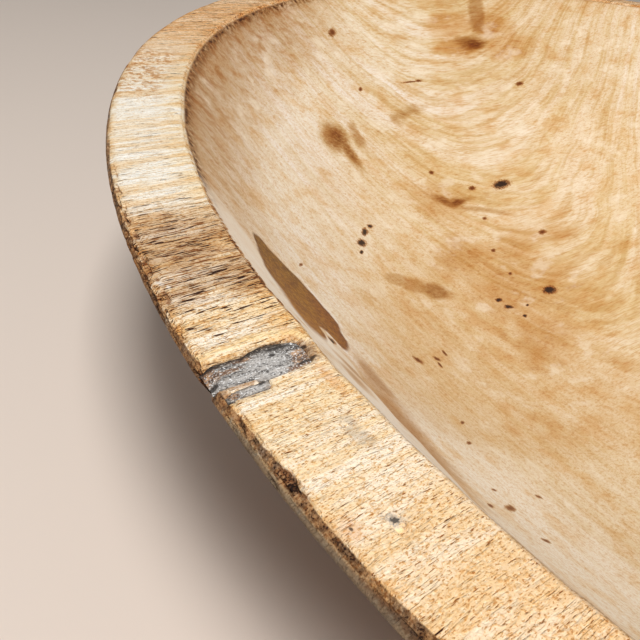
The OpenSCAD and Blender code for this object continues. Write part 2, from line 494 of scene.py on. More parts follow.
def wall_radius(sizes, heights):
    """Radius of the outer wall at heights."""
    outer_z, outer_r, _, _ = ball_sizes(sizes)
    return np.sqrt(np.clip(outer_r ** 2 - (heights - outer_z) ** 2, 0.0, None))


def arc(middle, radius, start, end, steps, power=1.0):
    """Points on an arc, closer together at its start where power is above 1."""
    points = []
    for step in range(steps + 1):
        angle = start + (end - start) * (step / steps) ** power
        points.append((middle[0] + radius * math.cos(angle), middle[1] + radius * math.sin(angle)))
    return points


def section_points(sizes):
    """Half section as (radius, height), from the foot's middle round to the floor's middle."""
    outer_z, outer_r, inner_z, inner_r = ball_sizes(sizes)
    foot, band = sizes.foot_radius / MM, sizes.band_height / MM
    edge, eased = sizes.outer_edge / MM, sizes.inner_edge / MM
    points = [(ring, 0.0) for ring in FOOT_RINGS]
    points += [(foot - inward, up) for inward, up in FOOT_EDGE]
    top_angle = math.atan2(BOWL_H - band - outer_z, RIM_R)
    start_z = WALL_START - outer_z
    foot_angle = math.atan2(start_z, math.sqrt(outer_r ** 2 - start_z ** 2))
    wall = arc((0.0, outer_z), outer_r, top_angle, foot_angle, *WALL_STEPS)
    points += wall[::-1]
    points += arc((RIM_R - edge, BOWL_H - edge), edge, 0.0, math.pi / 2.0, OUTER_EDGE_STEPS)
    eased_z = BOWL_H - eased
    eased_x = math.sqrt((inner_r + eased) ** 2 - (inner_z - eased_z) ** 2)
    for step in range(1, RIM_STEPS):
        points.append((RIM_R - edge + (eased_x - RIM_R + edge) * step / RIM_STEPS, BOWL_H))
    wall_angle = math.atan2(inner_z - eased_z, -eased_x)
    points += arc((eased_x, eased_z), eased, math.pi / 2.0, wall_angle, INNER_EDGE_STEPS)
    start = math.atan2(points[-1][1] - inner_z, points[-1][0])
    points += arc((0.0, inner_z), inner_r, start, -math.pi / 2.0, *HOLLOW_STEPS)[1:]
    points[-1] = (0.0, sizes.floor_thickness / MM)
    return points


def draw_section(name, points, azimuth):
    """Draws a half section as one line of edges, a corner at a time."""
    clear_selection()
    bpy.ops.mesh.primitive_plane_add(size=MM, location=(0.0, 0.0, 0.0))
    piece = bpy.context.object
    piece.name = name
    piece.data.name = name
    bpy.ops.object.mode_set(mode="EDIT")
    bpy.context.tool_settings.mesh_select_mode = (True, False, False)
    bpy.ops.mesh.select_all(action="SELECT")
    bpy.ops.mesh.merge(type="CENTER")
    cos, sin = math.cos(math.radians(azimuth)), math.sin(math.radians(azimuth))
    places = [Vector((radius * cos, radius * sin, height)) * MM for radius, height in points]
    for before, after in zip(places, places[1:]):
        bpy.ops.mesh.extrude_region_move(TRANSFORM_OT_translate={"value": after - before})
    return piece


def spin_on(steps, degrees):
    """Turns the selected line on round the bowl's axis."""
    bpy.ops.mesh.spin(
        steps=steps, angle=math.radians(degrees), center=(0.0, 0.0, 0.0), axis=(0.0, 0.0, 1.0))


def divide_faces(piece, wanted, cuts):
    """Divides the faces whose middle, in millimetres, is wanted. The piece is in edit mode."""
    mesh = bmesh.from_edit_mesh(piece.data)
    bpy.context.tool_settings.mesh_select_mode = (False, False, True)
    for face in mesh.faces:
        face.select_set(wanted(face.calc_center_median() / MM))
    mesh.select_flush_mode()
    bmesh.update_edit_mesh(piece.data)
    bpy.ops.mesh.subdivide(number_cuts=cuts, smoothness=0.0)


def on_band(middle, start, end, drop, width):
    """Whether a place lies between two azimuths, close to the rim's top and to its outer edge."""
    azimuth = math.degrees(math.atan2(middle.y, middle.x)) % 360.0
    return start < azimuth < end and middle.z > BOWL_H - drop and middle.xy.length > RIM_R - width


def turn_bowl(sizes):
    """Turns the plain bowl, with close steps at the front, and closes it."""
    piece = draw_section("bowl_wood", section_points(sizes), FRONT_START)
    bpy.ops.mesh.select_all(action="SELECT")
    spin_on(FRONT_STEPS, FINE_START - FRONT_START)
    spin_on(FINE_STEPS, FINE_END - FINE_START)
    spin_on(REST_STEPS, 360.0 - FINE_END + FRONT_START)
    bpy.ops.mesh.select_all(action="SELECT")
    bpy.ops.mesh.remove_doubles(threshold=MERGE)
    bpy.ops.mesh.normals_make_consistent(inside=False)

    def fine_rim(middle):
        return on_band(middle, FINE_START, FINE_END, FINE_DROP, RIM_R)

    def by_check(middle):
        return on_band(middle, CHECK_START, CHECK_END, CLOSE_DROP, RIM_W + 0.2)

    def by_edge(middle):
        close = on_band(middle, EDGE_START, EDGE_END, CLOSE_DROP, EDGE_WIDTH)
        return close and not by_check(middle)

    divide_faces(piece, fine_rim, 2)
    divide_faces(piece, by_edge, 1)
    divide_faces(piece, by_check, 2)
    bpy.ops.object.mode_set(mode="OBJECT")
    return piece


def away_from(azimuth, middle):
    """Degrees from one azimuth to others, the short way round."""
    return (azimuth - middle + 180.0) % 360.0 - 180.0


def chip_strength(azimuth):
    """How badly the outer edge is chipped at azimuths in degrees."""
    angle = np.radians(azimuth)
    ring = np.stack([np.cos(angle), np.sin(angle), np.zeros(len(azimuth))], axis=1)
    strength = 0.3 + 0.3 * clouds(ring * 100.0, (9.0, 9.0, 9.0), 2)
    for middle, spread, amount in EDGE_CHIPS:
        strength += amount * np.exp(-(away_from(azimuth, middle) / spread) ** 2)
    return np.clip(strength, 0.05, 1.3)


def into_outline(points, outline):
    """Distance into an outline for points told as on the rim, less than zero outside it."""
    places = points[:, :2]
    corner_list = np.array(outline)
    shortest = np.full(len(places), 1e9)
    inside = np.zeros(len(places), dtype=bool)
    for start, end in zip(corner_list, np.roll(corner_list, -1, axis=0)):
        side = end - start
        share = np.clip(((places - start) @ side) / (side @ side), 0.0, 1.0)
        shortest = np.minimum(shortest, np.hypot(*(places - start - share[:, None] * side).T))
        spans = (start[1] > places[:, 1]) != (end[1] > places[:, 1])
        rise = side[1] if abs(side[1]) > 1e-9 else 1e-9
        inside ^= spans & (places[:, 0] < start[0] + (places[:, 1] - start[1]) / rise * side[0])
    return np.where(inside, shortest, -shortest)


def check_floor(inward):
    """Height of the check's floor, from the rim's top, at a place in from the outer edge."""
    share = np.clip(inward / RIM_W, 0.0, 1.0)
    return -(CHECK_DEPTHS[0] + (CHECK_DEPTHS[1] - CHECK_DEPTHS[0]) * share)


def rim_fall(places):
    """How far the worn top of the rim lies below its true height: low waves and open grain."""
    wave = 0.16 * clouds(places, (12.0, 16.0, 12.0)) + 0.10 * clouds(places, (3.0, 12.0, 3.0))
    furrow = 0.07 * clouds(places, (0.8, 6.0, 0.8), 2)
    return np.clip(0.26 + wave + furrow, 0.0, None)


def cut_down(near, inside, floor, lip, by_rim, dip=0.55):
    """Lowers wood to a check's floor: an eased lip of the given width and dip, then a steep side."""
    top = near[:, 2] > -1.6
    level = near[:, 2] - np.where(top, dip * ease(inside, -lip, 0.1), 0.0)
    sunk = level + (np.minimum(floor, level) - level) * ease(inside, 0.06, 0.42)
    near[:, 2] = np.where(by_rim & (inside > -lip), sunk, near[:, 2])


def shape_lips(near, inside, top):
    beside = np.clip(-inside, 0.0, None)
    left = near[:, 0] < -0.3
    ledge = 0.42 * np.exp(-(beside / 1.1) ** 2) - 0.24 * np.exp(-((beside - 2.1) / 0.8) ** 2)
    small = 0.16 * np.exp(-(beside / 0.35) ** 2) - 0.08 * np.exp(-((beside - 0.9) / 0.5) ** 2)
    fall = np.where(left, ledge, small)
    crack_line = [(place, across) for across, place in SIDE_CRACK]
    from_crack = np.abs(near[:, 0] - bound(crack_line, near[:, 1]))
    inward = near[:, 1]
    crack = np.exp(-(from_crack / 0.16) ** 2) * ease(inward, 4.6, 6.4) * ease(inward, 16.2, 14.6)
    wooden = top & (inside < 0.0)
    near[:, 2] -= np.where(wooden, fall + 0.4 * crack, 0.0)
    # A painted highlight goes on the raised lip left of the check
    lip_highlight = np.exp(-((beside - 2.0) / 0.75) ** 2) * np.where(left, 1.0, 0.0)
    return np.where(wooden, lip_highlight, 0.0), np.where(wooden, crack, 0.0)


def open_checks(places, sizes):
    """Opens the checks and the pits in the rim. Gives the new places, the dark sides, which are dirt
    and left of the check also painted shade, and where a painted highlight lies on the lips.
    """
    near = on_rim(places, CHECK_TURN)
    outside = np.hypot(places[:, 0], places[:, 1]) > RIM_R - (RIM_W + 0.6)
    by_rim = outside & (near[:, 2] > -6.0) & (np.abs(near[:, 0]) < 12.0) & (near[:, 1] < 40.0)
    top = by_rim & (near[:, 2] > -1.5)
    wobble = clouds(places, (0.9, 1.6, 0.9), 2)

    inside = into_outline(near, CHECK_OUTLINE) + 0.16 * wobble
    lip_highlight, crack = shape_lips(near, inside, top)
    cut_down(near, inside, check_floor(near[:, 1]), 0.30, by_rim)
    left = near[:, 0] < 0.0
    beside = np.clip(-inside, 0.0, None)
    # Left of the check the wood darkens under the lip: brown wood and painted shade
    left_dirt_and_shade = 0.65 * np.exp(-(beside / 0.95) ** 2)
    right_dark = 0.25 * np.exp(-(beside / 0.35) ** 2)
    dark = np.maximum(np.where(left, left_dirt_and_shade, right_dark), 0.9 * crack)

    slot = into_outline(near, SIDE_CHECK_OUTLINE) + 0.22 * wobble
    cut_down(near, slot, -SIDE_CHECK_DEPTH, 0.16, by_rim & (inside < -0.05))
    side_dark = 0.3 * np.exp(-(np.clip(-slot, 0.0, None) / 0.3) ** 2)
    dark = np.where(by_rim, np.maximum(dark, side_dark), 0.0)
    places = off_rim(near, CHECK_TURN)
    cut = by_rim & (inside > 0.0)

    for turn, inward in PITS:
        near = on_rim(places, turn)
        away = np.hypot(near[:, 0], near[:, 1] - inward)
        by_pit = outside & (near[:, 2] > -2.0) & (away < 3.0)
        cut_down(near, PIT_WIDTH / 2.0 - away + 0.14 * wobble, -PIT_DEPTH, 0.04, by_pit, 0.06)
        places = off_rim(near, turn)

    # The floor of the check stops at the outer wall
    radius = np.hypot(places[:, 0], places[:, 1])
    wall = wall_radius(sizes, places[:, 2])
    pull = np.where(cut & (radius > wall), wall / np.maximum(radius, 1.0), 1.0)
    places[:, :2] *= pull[:, None]
    return places, dark, lip_highlight


def measure_bowl(piece, sizes):
    """Where the turned bowl's corners lie, and room for how far wear lowers and draws in each."""
    _, _, inner_z, inner_r = ball_sizes(sizes)
    places = corners(piece)
    radius = np.hypot(places[:, 0], places[:, 1])
    bowl = SimpleNamespace(places=places, inner_z=inner_z)
    bowl.azimuth = np.degrees(np.arctan2(places[:, 1], places[:, 0])) % 360.0
    bowl.inset, bowl.down = RIM_R - radius, BOWL_H - places[:, 2]
    bowl.from_ball = np.hypot(radius, places[:, 2] - inner_z)
    bowl.hollow = (np.abs(bowl.from_ball - inner_r) < 0.05) & (bowl.down > 0.5)
    bowl.corner = np.hypot(bowl.inset, bowl.down)
    bowl.edge = np.where((bowl.corner < 4.0) & (bowl.down < 4.0))[0]
    bowl.fall, bowl.draw, bowl.chip = np.zeros((3, len(places)))
    return bowl


def wear_top(bowl):
    """Low waves and open grain on the top of the rim."""
    top = np.where((bowl.down < 2.5) & (bowl.inset < RIM_W + 1.5) & ~bowl.hollow)[0]
    bowl.fall[top] += rim_fall(bowl.places[top])


def chip_edge(bowl, deepest):
    """Chips and a worn round along the outer edge."""
    edge = bowl.edge
    places, strength = bowl.places[edge], chip_strength(bowl.azimuth[edge])
    broken = clouds(places, (0.8, 1.1, 0.7), 2) + 0.4 * clouds(places, (3.5, 5.0, 3.0))
    bite = ease(broken, 0.35 - 0.45 * strength, 0.95 - 0.35 * strength) * strength
    reach = ease(bowl.corner[edge], 2.6, 0.8)
    depth = deepest * bite * reach
    bowl.draw[edge] += 0.75 * depth
    bowl.fall[edge] += 0.65 * depth
    bowl.chip[edge] = bite * reach


def edge_dirt(bowl):
    """How dirty the outer edge is, and where its plain side shows, which is painted darker partly as
    shade.
    """
    seen_inset = bowl.inset - 0.5 * bowl.down
    reach = bound(EDGE_REACH, bowl.azimuth)
    dirt = bound(EDGE_DIRT, bowl.azimuth) * ease(seen_inset - reach, 0.35, -0.25)
    dirt = dirt * ease(bowl.down, 3.4, 1.6)
    right = ease(bowl.azimuth, 266.5, 268.5)
    side = ease(bowl.down, 0.5, 1.4) * right * ease(bowl.azimuth, 314.0, 298.0)
    patchy = 1.0 + 0.45 * clouds(bowl.places, (5.0, 5.0, 60.0))
    return np.where(bowl.inset < 4.0, dirt * patchy * (1.0 - 0.9 * side), 0.0), side


def break_bevel(bowl):
    """Breaks the round outer edge to a bevel, right of the check."""
    from_middle = np.hypot(bowl.inset - EDGE_R, bowl.down - EDGE_R)
    on_round = (np.abs(from_middle - EDGE_R) < 0.05) & (bowl.inset < EDGE_R) & (bowl.down < EDGE_R)
    edge = np.where(on_round)[0]
    azimuth, inset, down = bowl.azimuth[edge], bowl.inset[edge], bowl.down[edge]
    turned = np.degrees(np.arctan2(EDGE_R - down, EDGE_R - inset)) / 90.0
    bevel = ease(azimuth, 265.5, 269.5) * ease(azimuth, 306.0, 290.0)
    bowl.draw[edge] += bevel * (EDGE_R * turned - inset)
    bowl.fall[edge] += bevel * (EDGE_R * (1.0 - turned) - down)


def cut_groove(bowl):
    """A groove just under the outer edge, deepest to the right of the check, painted dark with grime
    and painted shade.
    """
    edge = bowl.edge
    away = np.abs(away_from(bowl.azimuth[edge], GROOVE_MIDDLE))
    strength = ease(away, 9.0, 5.0) + 0.2 * ease(away, 150.0, 20.0)
    line = 1.25 + 0.25 * clouds(bowl.places[edge], (9.0, 9.0, 40.0))
    groove = np.exp(-((bowl.down[edge] - line) / 0.5) ** 2) * ease(bowl.inset[edge], 2.2, 1.2)
    bowl.draw[edge] += 0.7 * groove * strength
    # The groove's share of the chip paint darkens it with grime and painted shade
    bowl.chip[edge] = np.maximum(bowl.chip[edge], 0.9 * groove * strength)


def wander_brink(bowl):
    """Lets the inner edge drift and wander. Gives its dirt, which is thickest left of the check."""
    inset, down = bowl.inset, bowl.down
    inner = np.where((inset > RIM_W - 2.0) & (inset < RIM_W + 2.0) & (down < 3.0))[0]
    wander = clouds(bowl.places[inner], (5.0, 7.0, 5.0), 2)
    drift = bound(INNER_EDGE_DRIFT, bowl.azimuth)
    bowl.draw += drift * ease(inset, RIM_W / 2.0, RIM_W) * ease(down, 42.0, 0.0)
    bowl.draw[inner] -= 0.22 * wander * ease(down[inner], 3.0, 0.5)
    return bound(BRINK_DIRT, bowl.azimuth) * ease(inset, 15.75, 16.15) * ease(down, 2.2, 0.9)


def wave_hollow(bowl, tool_marks):
    """The shallow waves that hollowing left, and the scraped strip, which stands a little proud."""
    inside = np.where(bowl.hollow)[0]
    places, azimuth, down = bowl.places[inside], bowl.azimuth[inside], bowl.down[inside]
    waves = clouds(places, (26.0, 34.0, 20.0)) + 0.35 * clouds(places, (8.0, 18.0, 6.0))
    below = down - bound(SCRAPED_STRIP, azimuth)
    in_strip = ease(azimuth, 252.0, 257.0) * ease(azimuth, 274.5, 271.0)
    step = 0.55 * ease(below, -0.6, 0.8) * ease(below, 26.0, 2.0) * in_strip
    deeper = tool_marks * waves * ease(down, 0.5, 6.0) + step
    outward = (places - np.array([0.0, 0.0, bowl.inner_z])) / bowl.from_ball[inside][:, None]
    bowl.places[inside] += outward * deeper[:, None]


def wear_bowl(piece, sizes):
    """Works the real bowl's wear into the turned shape, and paints where it is for the material."""
    bowl = measure_bowl(piece, sizes)
    wear_top(bowl)
    chip_edge(bowl, sizes.chip_depth / MM)
    dirt, side = edge_dirt(bowl)
    break_bevel(bowl)
    cut_groove(bowl)
    brink = wander_brink(bowl)
    wave_hollow(bowl, sizes.tool_marks / MM)
    angle, places = np.radians(bowl.azimuth), bowl.places
    places[:, 2] -= bowl.fall
    places[:, :2] -= np.stack([np.cos(angle), np.sin(angle)], axis=1) * bowl.draw[:, None]
    places, seam, lip = open_checks(places, sizes)
    places[:, 2] = np.clip(places[:, 2], 0.0, BOWL_H)
    move_corners(piece, places)
    rim = ease(bowl.down, 2.8, 1.0) * ease(bowl.inset, 17.2, 16.2)
    paint(piece, "rim", np.where(bowl.hollow, 0.0, rim))
    paint(piece, "hollow", np.where(bowl.hollow, 1.0, 0.0))
    paint(piece, "side", np.where(bowl.inset < 5.0, side, 0.0))
    # lip marks a painted highlight, and seam and chip hold painted shade as well as dirt
    worn = {"chip": bowl.chip, "edge": dirt, "seam": seam, "brink": brink, "lip": lip}
    for name, values in worn.items():
        paint(piece, name, values)
    paint_tints(piece, bowl, sizes)


def paint_tints(piece, bowl, sizes):
    """Paints the broad soft tints of the hollow, each list as one number for each corner."""
    lists = {"ochre": OCHRE_TINTS, "pale": PALE_TINTS, "orange": ORANGE_TINTS, "shade": SOFT_STAINS}
    for name, marks in lists.items():
        strongest = np.zeros(len(bowl.azimuth))
        for middle, depth, half_long, half_short, turn in marks:
            radius, ball = hollow_radius(sizes, depth)
            across = np.radians(away_from(bowl.azimuth, middle)) * radius
            below = (bowl.down - depth) * ball / radius
            cos, sin = math.cos(math.radians(turn)), math.sin(math.radians(turn))
            along, aside = across * cos + below * sin, below * cos - across * sin
            reach = np.hypot(along / half_long, aside / half_short)
            strongest = np.maximum(strongest, ease(reach, 1.7, 0.3))
        paint(piece, name, np.where(bowl.hollow, strongest, 0.0))


# Lumps of filler


def lay_filler(name, turn, sides, span, counts, surface, floor, outline=None):
    """Lays a lump of filler in the rim: a grid between its two sides, drawn down to the floor."""
    clear_selection()
    bpy.ops.mesh.primitive_grid_add(x_subdivisions=counts[0], y_subdivisions=counts[1], size=1.0)
    piece = bpy.context.object
    piece.name = name
    piece.data.name = name
    shares = corners(piece) * MM + 0.5
    inward = span[0] + (span[1] - span[0]) * shares[:, 1]
    first, last = sides[0](inward), sides[1](inward)
    across = first + (last - first) * shares[:, 0]
    flat = np.stack([across, inward, np.full(len(across), -FILLER_SINK)], axis=1)
    move_corners(piece, off_rim(flat, turn))
    bpy.ops.object.mode_set(mode="EDIT")
    bpy.ops.mesh.select_all(action="SELECT")
    bpy.ops.mesh.extrude_region_move(TRANSFORM_OT_translate={"value": (0.0, 0.0, -FIRST_DROP * MM)})
    bpy.ops.mesh.select_all(action="SELECT")
    bpy.ops.mesh.normals_make_consistent(inside=False)
    bpy.ops.object.mode_set(mode="OBJECT")
    places = on_rim(corners(piece), turn)
    under = places[:, 2] < -FILLER_SINK - FIRST_DROP / 2.0
    places[:, 2] = np.where(under, floor(places), surface(places))
    move_corners(piece, off_rim(places, turn))
    inside = np.zeros(len(places)) if outline is None else into_outline(places, outline)
    # The inside paint keeps the filler's painted shade to its left side and out of its inner end
    open_sides = ease(places[:, 0], 0.0, 1.2)
    paint(piece, "inside", inside + open_sides + 0.6 * ease(places[:, 1], 12.0, 14.0))
    return piece


def side_of(outline, first, last, past):
    """One side of an outline and a little past it, as a function of the place in from the edge."""
    side = sorted((inward, across) for across, inward in outline[first:last])
    return lambda inward: bound(side, inward) + past


def flat_floor(depth):
    """A level floor at a depth, as a function of places."""
    return lambda places: np.full(len(places), -depth)


def filler_top(outline, places, turn, lump):
    """Height of a filler's rough top: sunk under the wood at its left, level at its right."""
    inside = into_outline(places, outline)
    rough = clouds(off_rim(places, turn), lump, 3)
    sink = 0.75 - 0.5 * ease(places[:, 0], 0.0, 1.0)
    return -FILLER_SINK + 0.12 * rough - sink * ease(inside, 0.16, -0.40)


def fill_check(sizes):
    """The filler of the main check, which follows the outer wall at its outer end."""
    sides = side_of(CHECK_OUTLINE, 0, 12, -0.4), side_of(CHECK_OUTLINE, 11, 21, 0.4)

    def surface(places):
        dip = 0.9 * ease(places[:, 1], 2.2, 0.1) ** 2
        return filler_top(CHECK_OUTLINE, places, CHECK_TURN, (0.7, 1.3, 0.7)) - dip

    def floor(places):
        return check_floor(places[:, 1])

    piece = lay_filler(
        "check_fill", CHECK_TURN, sides, (0.15, 15.4), (26, 74), surface, floor, CHECK_OUTLINE)
    places = corners(piece)
    radius = np.hypot(places[:, 0], places[:, 1])
    wall = np.minimum(wall_radius(sizes, places[:, 2]), RIM_R) - 0.1
    places[:, :2] *= np.minimum(1.0, wall / radius)[:, None]
    move_corners(piece, places)
    return piece


def fill_side_check():
    """The filler of the short side check."""
    sides = side_of(SIDE_CHECK_OUTLINE, 0, 5, -0.25), side_of(SIDE_CHECK_OUTLINE, 5, 10, 0.25)

    def surface(places):
        return filler_top(SIDE_CHECK_OUTLINE, places, CHECK_TURN, (0.6, 0.9, 0.6))

    return lay_filler(
        "side_check_fill", CHECK_TURN, sides, (0.9, 7.6), (14, 40), surface,
        flat_floor(SIDE_CHECK_DEPTH), SIDE_CHECK_OUTLINE)


def fill_pit(turn, inward):
    """Filler smeared over one pit, level with the worn wood round it."""
    reach = PIT_WIDTH / 2.0 + 0.3

    def half(places):
        return np.sqrt(np.clip(reach ** 2 - (places - inward) ** 2, 0.04, None))

    def surface(places):
        away = np.hypot(places[:, 0], places[:, 1] - inward)
        return -0.04 - rim_fall(off_rim(places, turn)) - 0.4 * ease(away, reach - 0.3, reach)

    sides = (lambda places: -half(places)), half
    span = inward - reach, inward + reach
    return lay_filler("pit_fill", turn, sides, span, (16, 16), surface, flat_floor(PIT_DEPTH))


def fill_pits():
    """The filler of the two pits, as one piece of two lumps."""
    lumps = [fill_pit(turn, inward) for turn, inward in PITS]
    clear_selection()
    for lump in lumps:
        lump.select_set(True)
    bpy.context.view_layer.objects.active = lumps[0]
    bpy.ops.object.join()
    return lumps[0]


# Shader work


def feed(tree, socket, value):
    """Links a socket, or sets its plain value."""
    if isinstance(value, bpy.types.NodeSocket):
        tree.links.new(value, socket)
    elif socket.type == "RGBA" and len(value) == 3:
        socket.default_value = (value[0], value[1], value[2], 1.0)
    else:
        socket.default_value = value


def add_node(tree, kind, values=None, **settings):
    """Adds a node with its settings, and feeds inputs that are told by number or by name."""
    node = tree.nodes.new(kind)
    for key, value in settings.items():
        setattr(node, key, value)
    for key, value in (values or {}).items():
        feed(tree, node.inputs[key], value)
    return node


def outputs_of(node):
    """A node's outputs by name, in small letters."""
    named = [socket for socket in node.outputs if socket.name]
    return SimpleNamespace(**{socket.name.lower().replace(" ", "_"): socket for socket in named})


def sum_of(tree, operation, first, second=0.0, clamp=False):
    """One step of arithmetic."""
    values = {0: first, 1: second}
    return add_node(tree, "ShaderNodeMath", values, operation=operation, use_clamp=clamp).outputs[0]


def plus(tree, first, second):
    """Sum of two values."""
    return sum_of(tree, "ADD", first, second)


def less(tree, first, second):
    """One value less another."""
    return sum_of(tree, "SUBTRACT", first, second)


def times(tree, first, second):
    """Product of two values, which for two masks is the part that they share."""
    return sum_of(tree, "MULTIPLY", first, second)


def rest_of(tree, mask):
    """What a mask leaves out."""
    return less(tree, 1.0, mask)


def shifted(tree, value, share, base):
    """A base value with a share of another one added to it."""
    values = {0: value, 1: share, 2: base}
    return add_node(tree, "ShaderNodeMath", values, operation="MULTIPLY_ADD").outputs[0]


def about_zero(tree, value, size):
    """A noise from 0 to 1 as one about zero."""
    return times(tree, less(tree, value, 0.5), size)


def vector_of(tree, *parts):
    """A vector of two or three parts."""
    return add_node(tree, "ShaderNodeCombineXYZ", dict(enumerate(parts))).outputs[0]


def length_of(tree, vector):
    """Length of a vector."""
    return add_node(tree, "ShaderNodeVectorMath", {0: vector}, operation="LENGTH").outputs["Value"]


def fade(tree, value, low, high, top=1.0):
    """Smooth step from 0 at low to top at high."""
    values = {"Value": value, "From Min": low, "From Max": high, "To Max": top}
    return add_node(tree, "ShaderNodeMapRange", values, interpolation_type="SMOOTHSTEP").outputs[0]


def zone(tree, value, start, full, past, end, top=1.0):
    """A mask that rises from start to full and falls again from past to end."""
    return times(tree, fade(tree, value, start, full, top), fade(tree, value, end, past))


def blend(tree, amount, first, second, way="MIX"):
    """Mixes two colours."""
    values = {0: amount, 6: first, 7: second}
    return add_node(tree, "ShaderNodeMix", values, data_type="RGBA", blend_type=way).outputs[2]


def soak(tree, amount, colour, stain):
    """Soaks a stain into a colour: its full tint at an amount of 1, paler and purer below that."""
    shares = {number: sum_of(tree, "POWER", share, amount) for number, share in enumerate(stain)}
    tinted = add_node(tree, "ShaderNodeCombineColor", shares)
    return blend(tree, 1.0, colour, tinted.outputs[0], "MULTIPLY")


def cloud(tree, point, reach, detail=2.0, roughness=0.5):
    """Noise from 0 to 1, where reach is the size of its patches along x, y and z in millimetres."""
    scaled = add_node(tree, "ShaderNodeVectorMath", {0: point, 1: reach}, operation="DIVIDE")
    values = {"Vector": scaled.outputs[0], "Scale": 1.0, "Detail": detail, "Roughness": roughness}
    return add_node(tree, "ShaderNodeTexNoise", values).outputs[0]


def new_group(name, inputs, outputs):
    """A shader group with named sockets. Gives its tree, its inputs by name and its output node."""
    tree = bpy.data.node_groups.new(name, "ShaderNodeTree")
    for way, sockets in (("INPUT", inputs), ("OUTPUT", outputs)):
        for socket, kind in sockets.items():
            tree.interface.new_socket(socket, in_out=way, socket_type=kind)
    return tree, outputs_of(add_node(tree, "NodeGroupInput")), add_node(tree, "NodeGroupOutput")


def place_group(tree, group, **values):
    """Puts a group in a tree and feeds its named inputs. Gives its outputs by name."""
    return outputs_of(add_node(tree, "ShaderNodeGroup", values, node_tree=group))


def bowl_chart_group():
    """Tells the shader where it is on the bowl."""
    outputs = {"Millimetres": VECTOR, "Azimuth": FLOAT, "Depth": FLOAT, "Inset": FLOAT}
    outputs.update(Wall=VECTOR, Rim=VECTOR)
    tree, given, result = new_group("bowl_chart", {"Point": VECTOR}, outputs)
    values = {0: given.point, "Scale": 1.0 / MM}
    millimetres = add_node(tree, "ShaderNodeVectorMath", values, operation="SCALE").outputs[0]
    parts = outputs_of(add_node(tree, "ShaderNodeSeparateXYZ", {0: millimetres}))
    angle = sum_of(tree, "ARCTAN2", parts.y, parts.x)
    turned = plus(tree, sum_of(tree, "DEGREES", angle), 360.0)
    azimuth = sum_of(tree, "FLOORED_MODULO", turned, 360.0)
    depth = less(tree, BOWL_H, parts.z)
    inset = less(tree, RIM_R, length_of(tree, vector_of(tree, parts.x, parts.y)))
    wall, rim = vector_of(tree, azimuth, depth), vector_of(tree, azimuth, inset)
    for socket, value in zip(result.inputs, (millimetres, azimuth, depth, inset, wall, rim)):
        feed(tree, socket, value)
    return tree


def mark_group():
    """One round or long mark on a chart, with a wandering edge."""
    inputs = dict.fromkeys(("Chart", "Scale", "Place", "Turn", "Reach"), VECTOR)
    inputs.update(dict.fromkeys(("Softness", "Wander", "Before"), FLOAT))
    tree, given, result = new_group("mark", inputs, {"Mask": FLOAT})
    # A shift too small to see makes each mark wait for the last, so that few values are held
    values = {0: given.chart, 1: given.scale, 2: times(tree, given.before, 0.0001)}
    scaled = add_node(tree, "ShaderNodeVectorMath", values, operation="MULTIPLY_ADD").outputs[0]
    values = {"Vector": scaled, "Location": given.place, "Rotation": given.turn}
    values["Scale"] = given.reach
    local = add_node(tree, "ShaderNodeMapping", values, vector_type="TEXTURE").outputs[0]
    wandered = plus(tree, length_of(tree, local), given.wander)
    mask = fade(tree, wandered, plus(tree, 1.0, given.softness), less(tree, 1.0, given.softness))
    feed(tree, result.inputs["Mask"], sum_of(tree, "MAXIMUM", mask, given.before))
    return tree


def grain_group():
    """Lines along the grain, from broad bands to short pores, and the hollow's growth rings."""
    outputs = {name: FLOAT for name, _, _, _, _ in GRAIN_NOISES}
    tree, given, result = new_group("grain", {"Point": VECTOR}, outputs)
    parts = outputs_of(add_node(tree, "ShaderNodeSeparateXYZ", {0: given.point}))
    bent = less(tree, cloud(tree, given.point, (45.0, 70.0, 45.0), 2.0), 0.5)
    swayed = vector_of(tree, shifted(tree, bent, 5.0, parts.x), parts.y, parts.z)
    sideways, upwards = less(tree, parts.x, PITH[0]), less(tree, parts.z, PITH[1])
    squared = plus(tree, sum_of(tree, "POWER", sideways, 2.0), sum_of(tree, "POWER", upwards, 2.0))
    ring = shifted(tree, bent, 5.0, sum_of(tree, "SQRT", squared))
    rolled = vector_of(tree, ring, parts.y, parts.x)
    for name, in_rings, reach, detail, roughness in GRAIN_NOISES:
        value = cloud(tree, rolled if in_rings else swayed, reach, detail, roughness)
        feed(tree, result.inputs[name], value)
    return tree


def read_paint(tree, name):
    """A number that was painted on the mesh."""
    return add_node(tree, "ShaderNodeAttribute", attribute_name=name).outputs["Fac"]


def wall_scale(depth):
    """Millimetres on the hollow's wall for one degree round it and for one millimetre of depth."""
    radius, ball = hollow_radius(bpy.context.scene.bowl_sizes, depth)
    return math.radians(radius), ball / radius


def rim_scale(_):
    """Millimetres on the rim for one degree round it and for one millimetre in from its edge."""
    return math.radians(RIM_R), 1.0


def marks_on(tree, group, chart, scale_at, marks, softness, wander):
    """The strongest of a list of marks on a chart."""
    strongest = 0.0
    for azimuth, inward, half_long, half_short, turn in marks:
        scale = scale_at(inward)
        strongest = place_group(
            tree, group, Chart=chart, Scale=(*scale, 0.0), Turn=(0.0, 0.0, math.radians(turn)),
            Place=(azimuth * scale[0], inward * scale[1], 0.0), Reach=(half_long, half_short, 1.0),
            Softness=softness, Wander=wander, Before=strongest).mask
    return strongest


def wall_marks(tree, group, chart, marks, softness, wander):
    """The strongest of a list of marks in the hollow."""
    return marks_on(tree, group, chart.wall, wall_scale, marks, softness, wander)


def rim_marks(tree, group, chart, marks, softness, wander):
    """The strongest of a list of marks on the rim."""
    return marks_on(tree, group, chart.rim, rim_scale, marks, softness, wander)


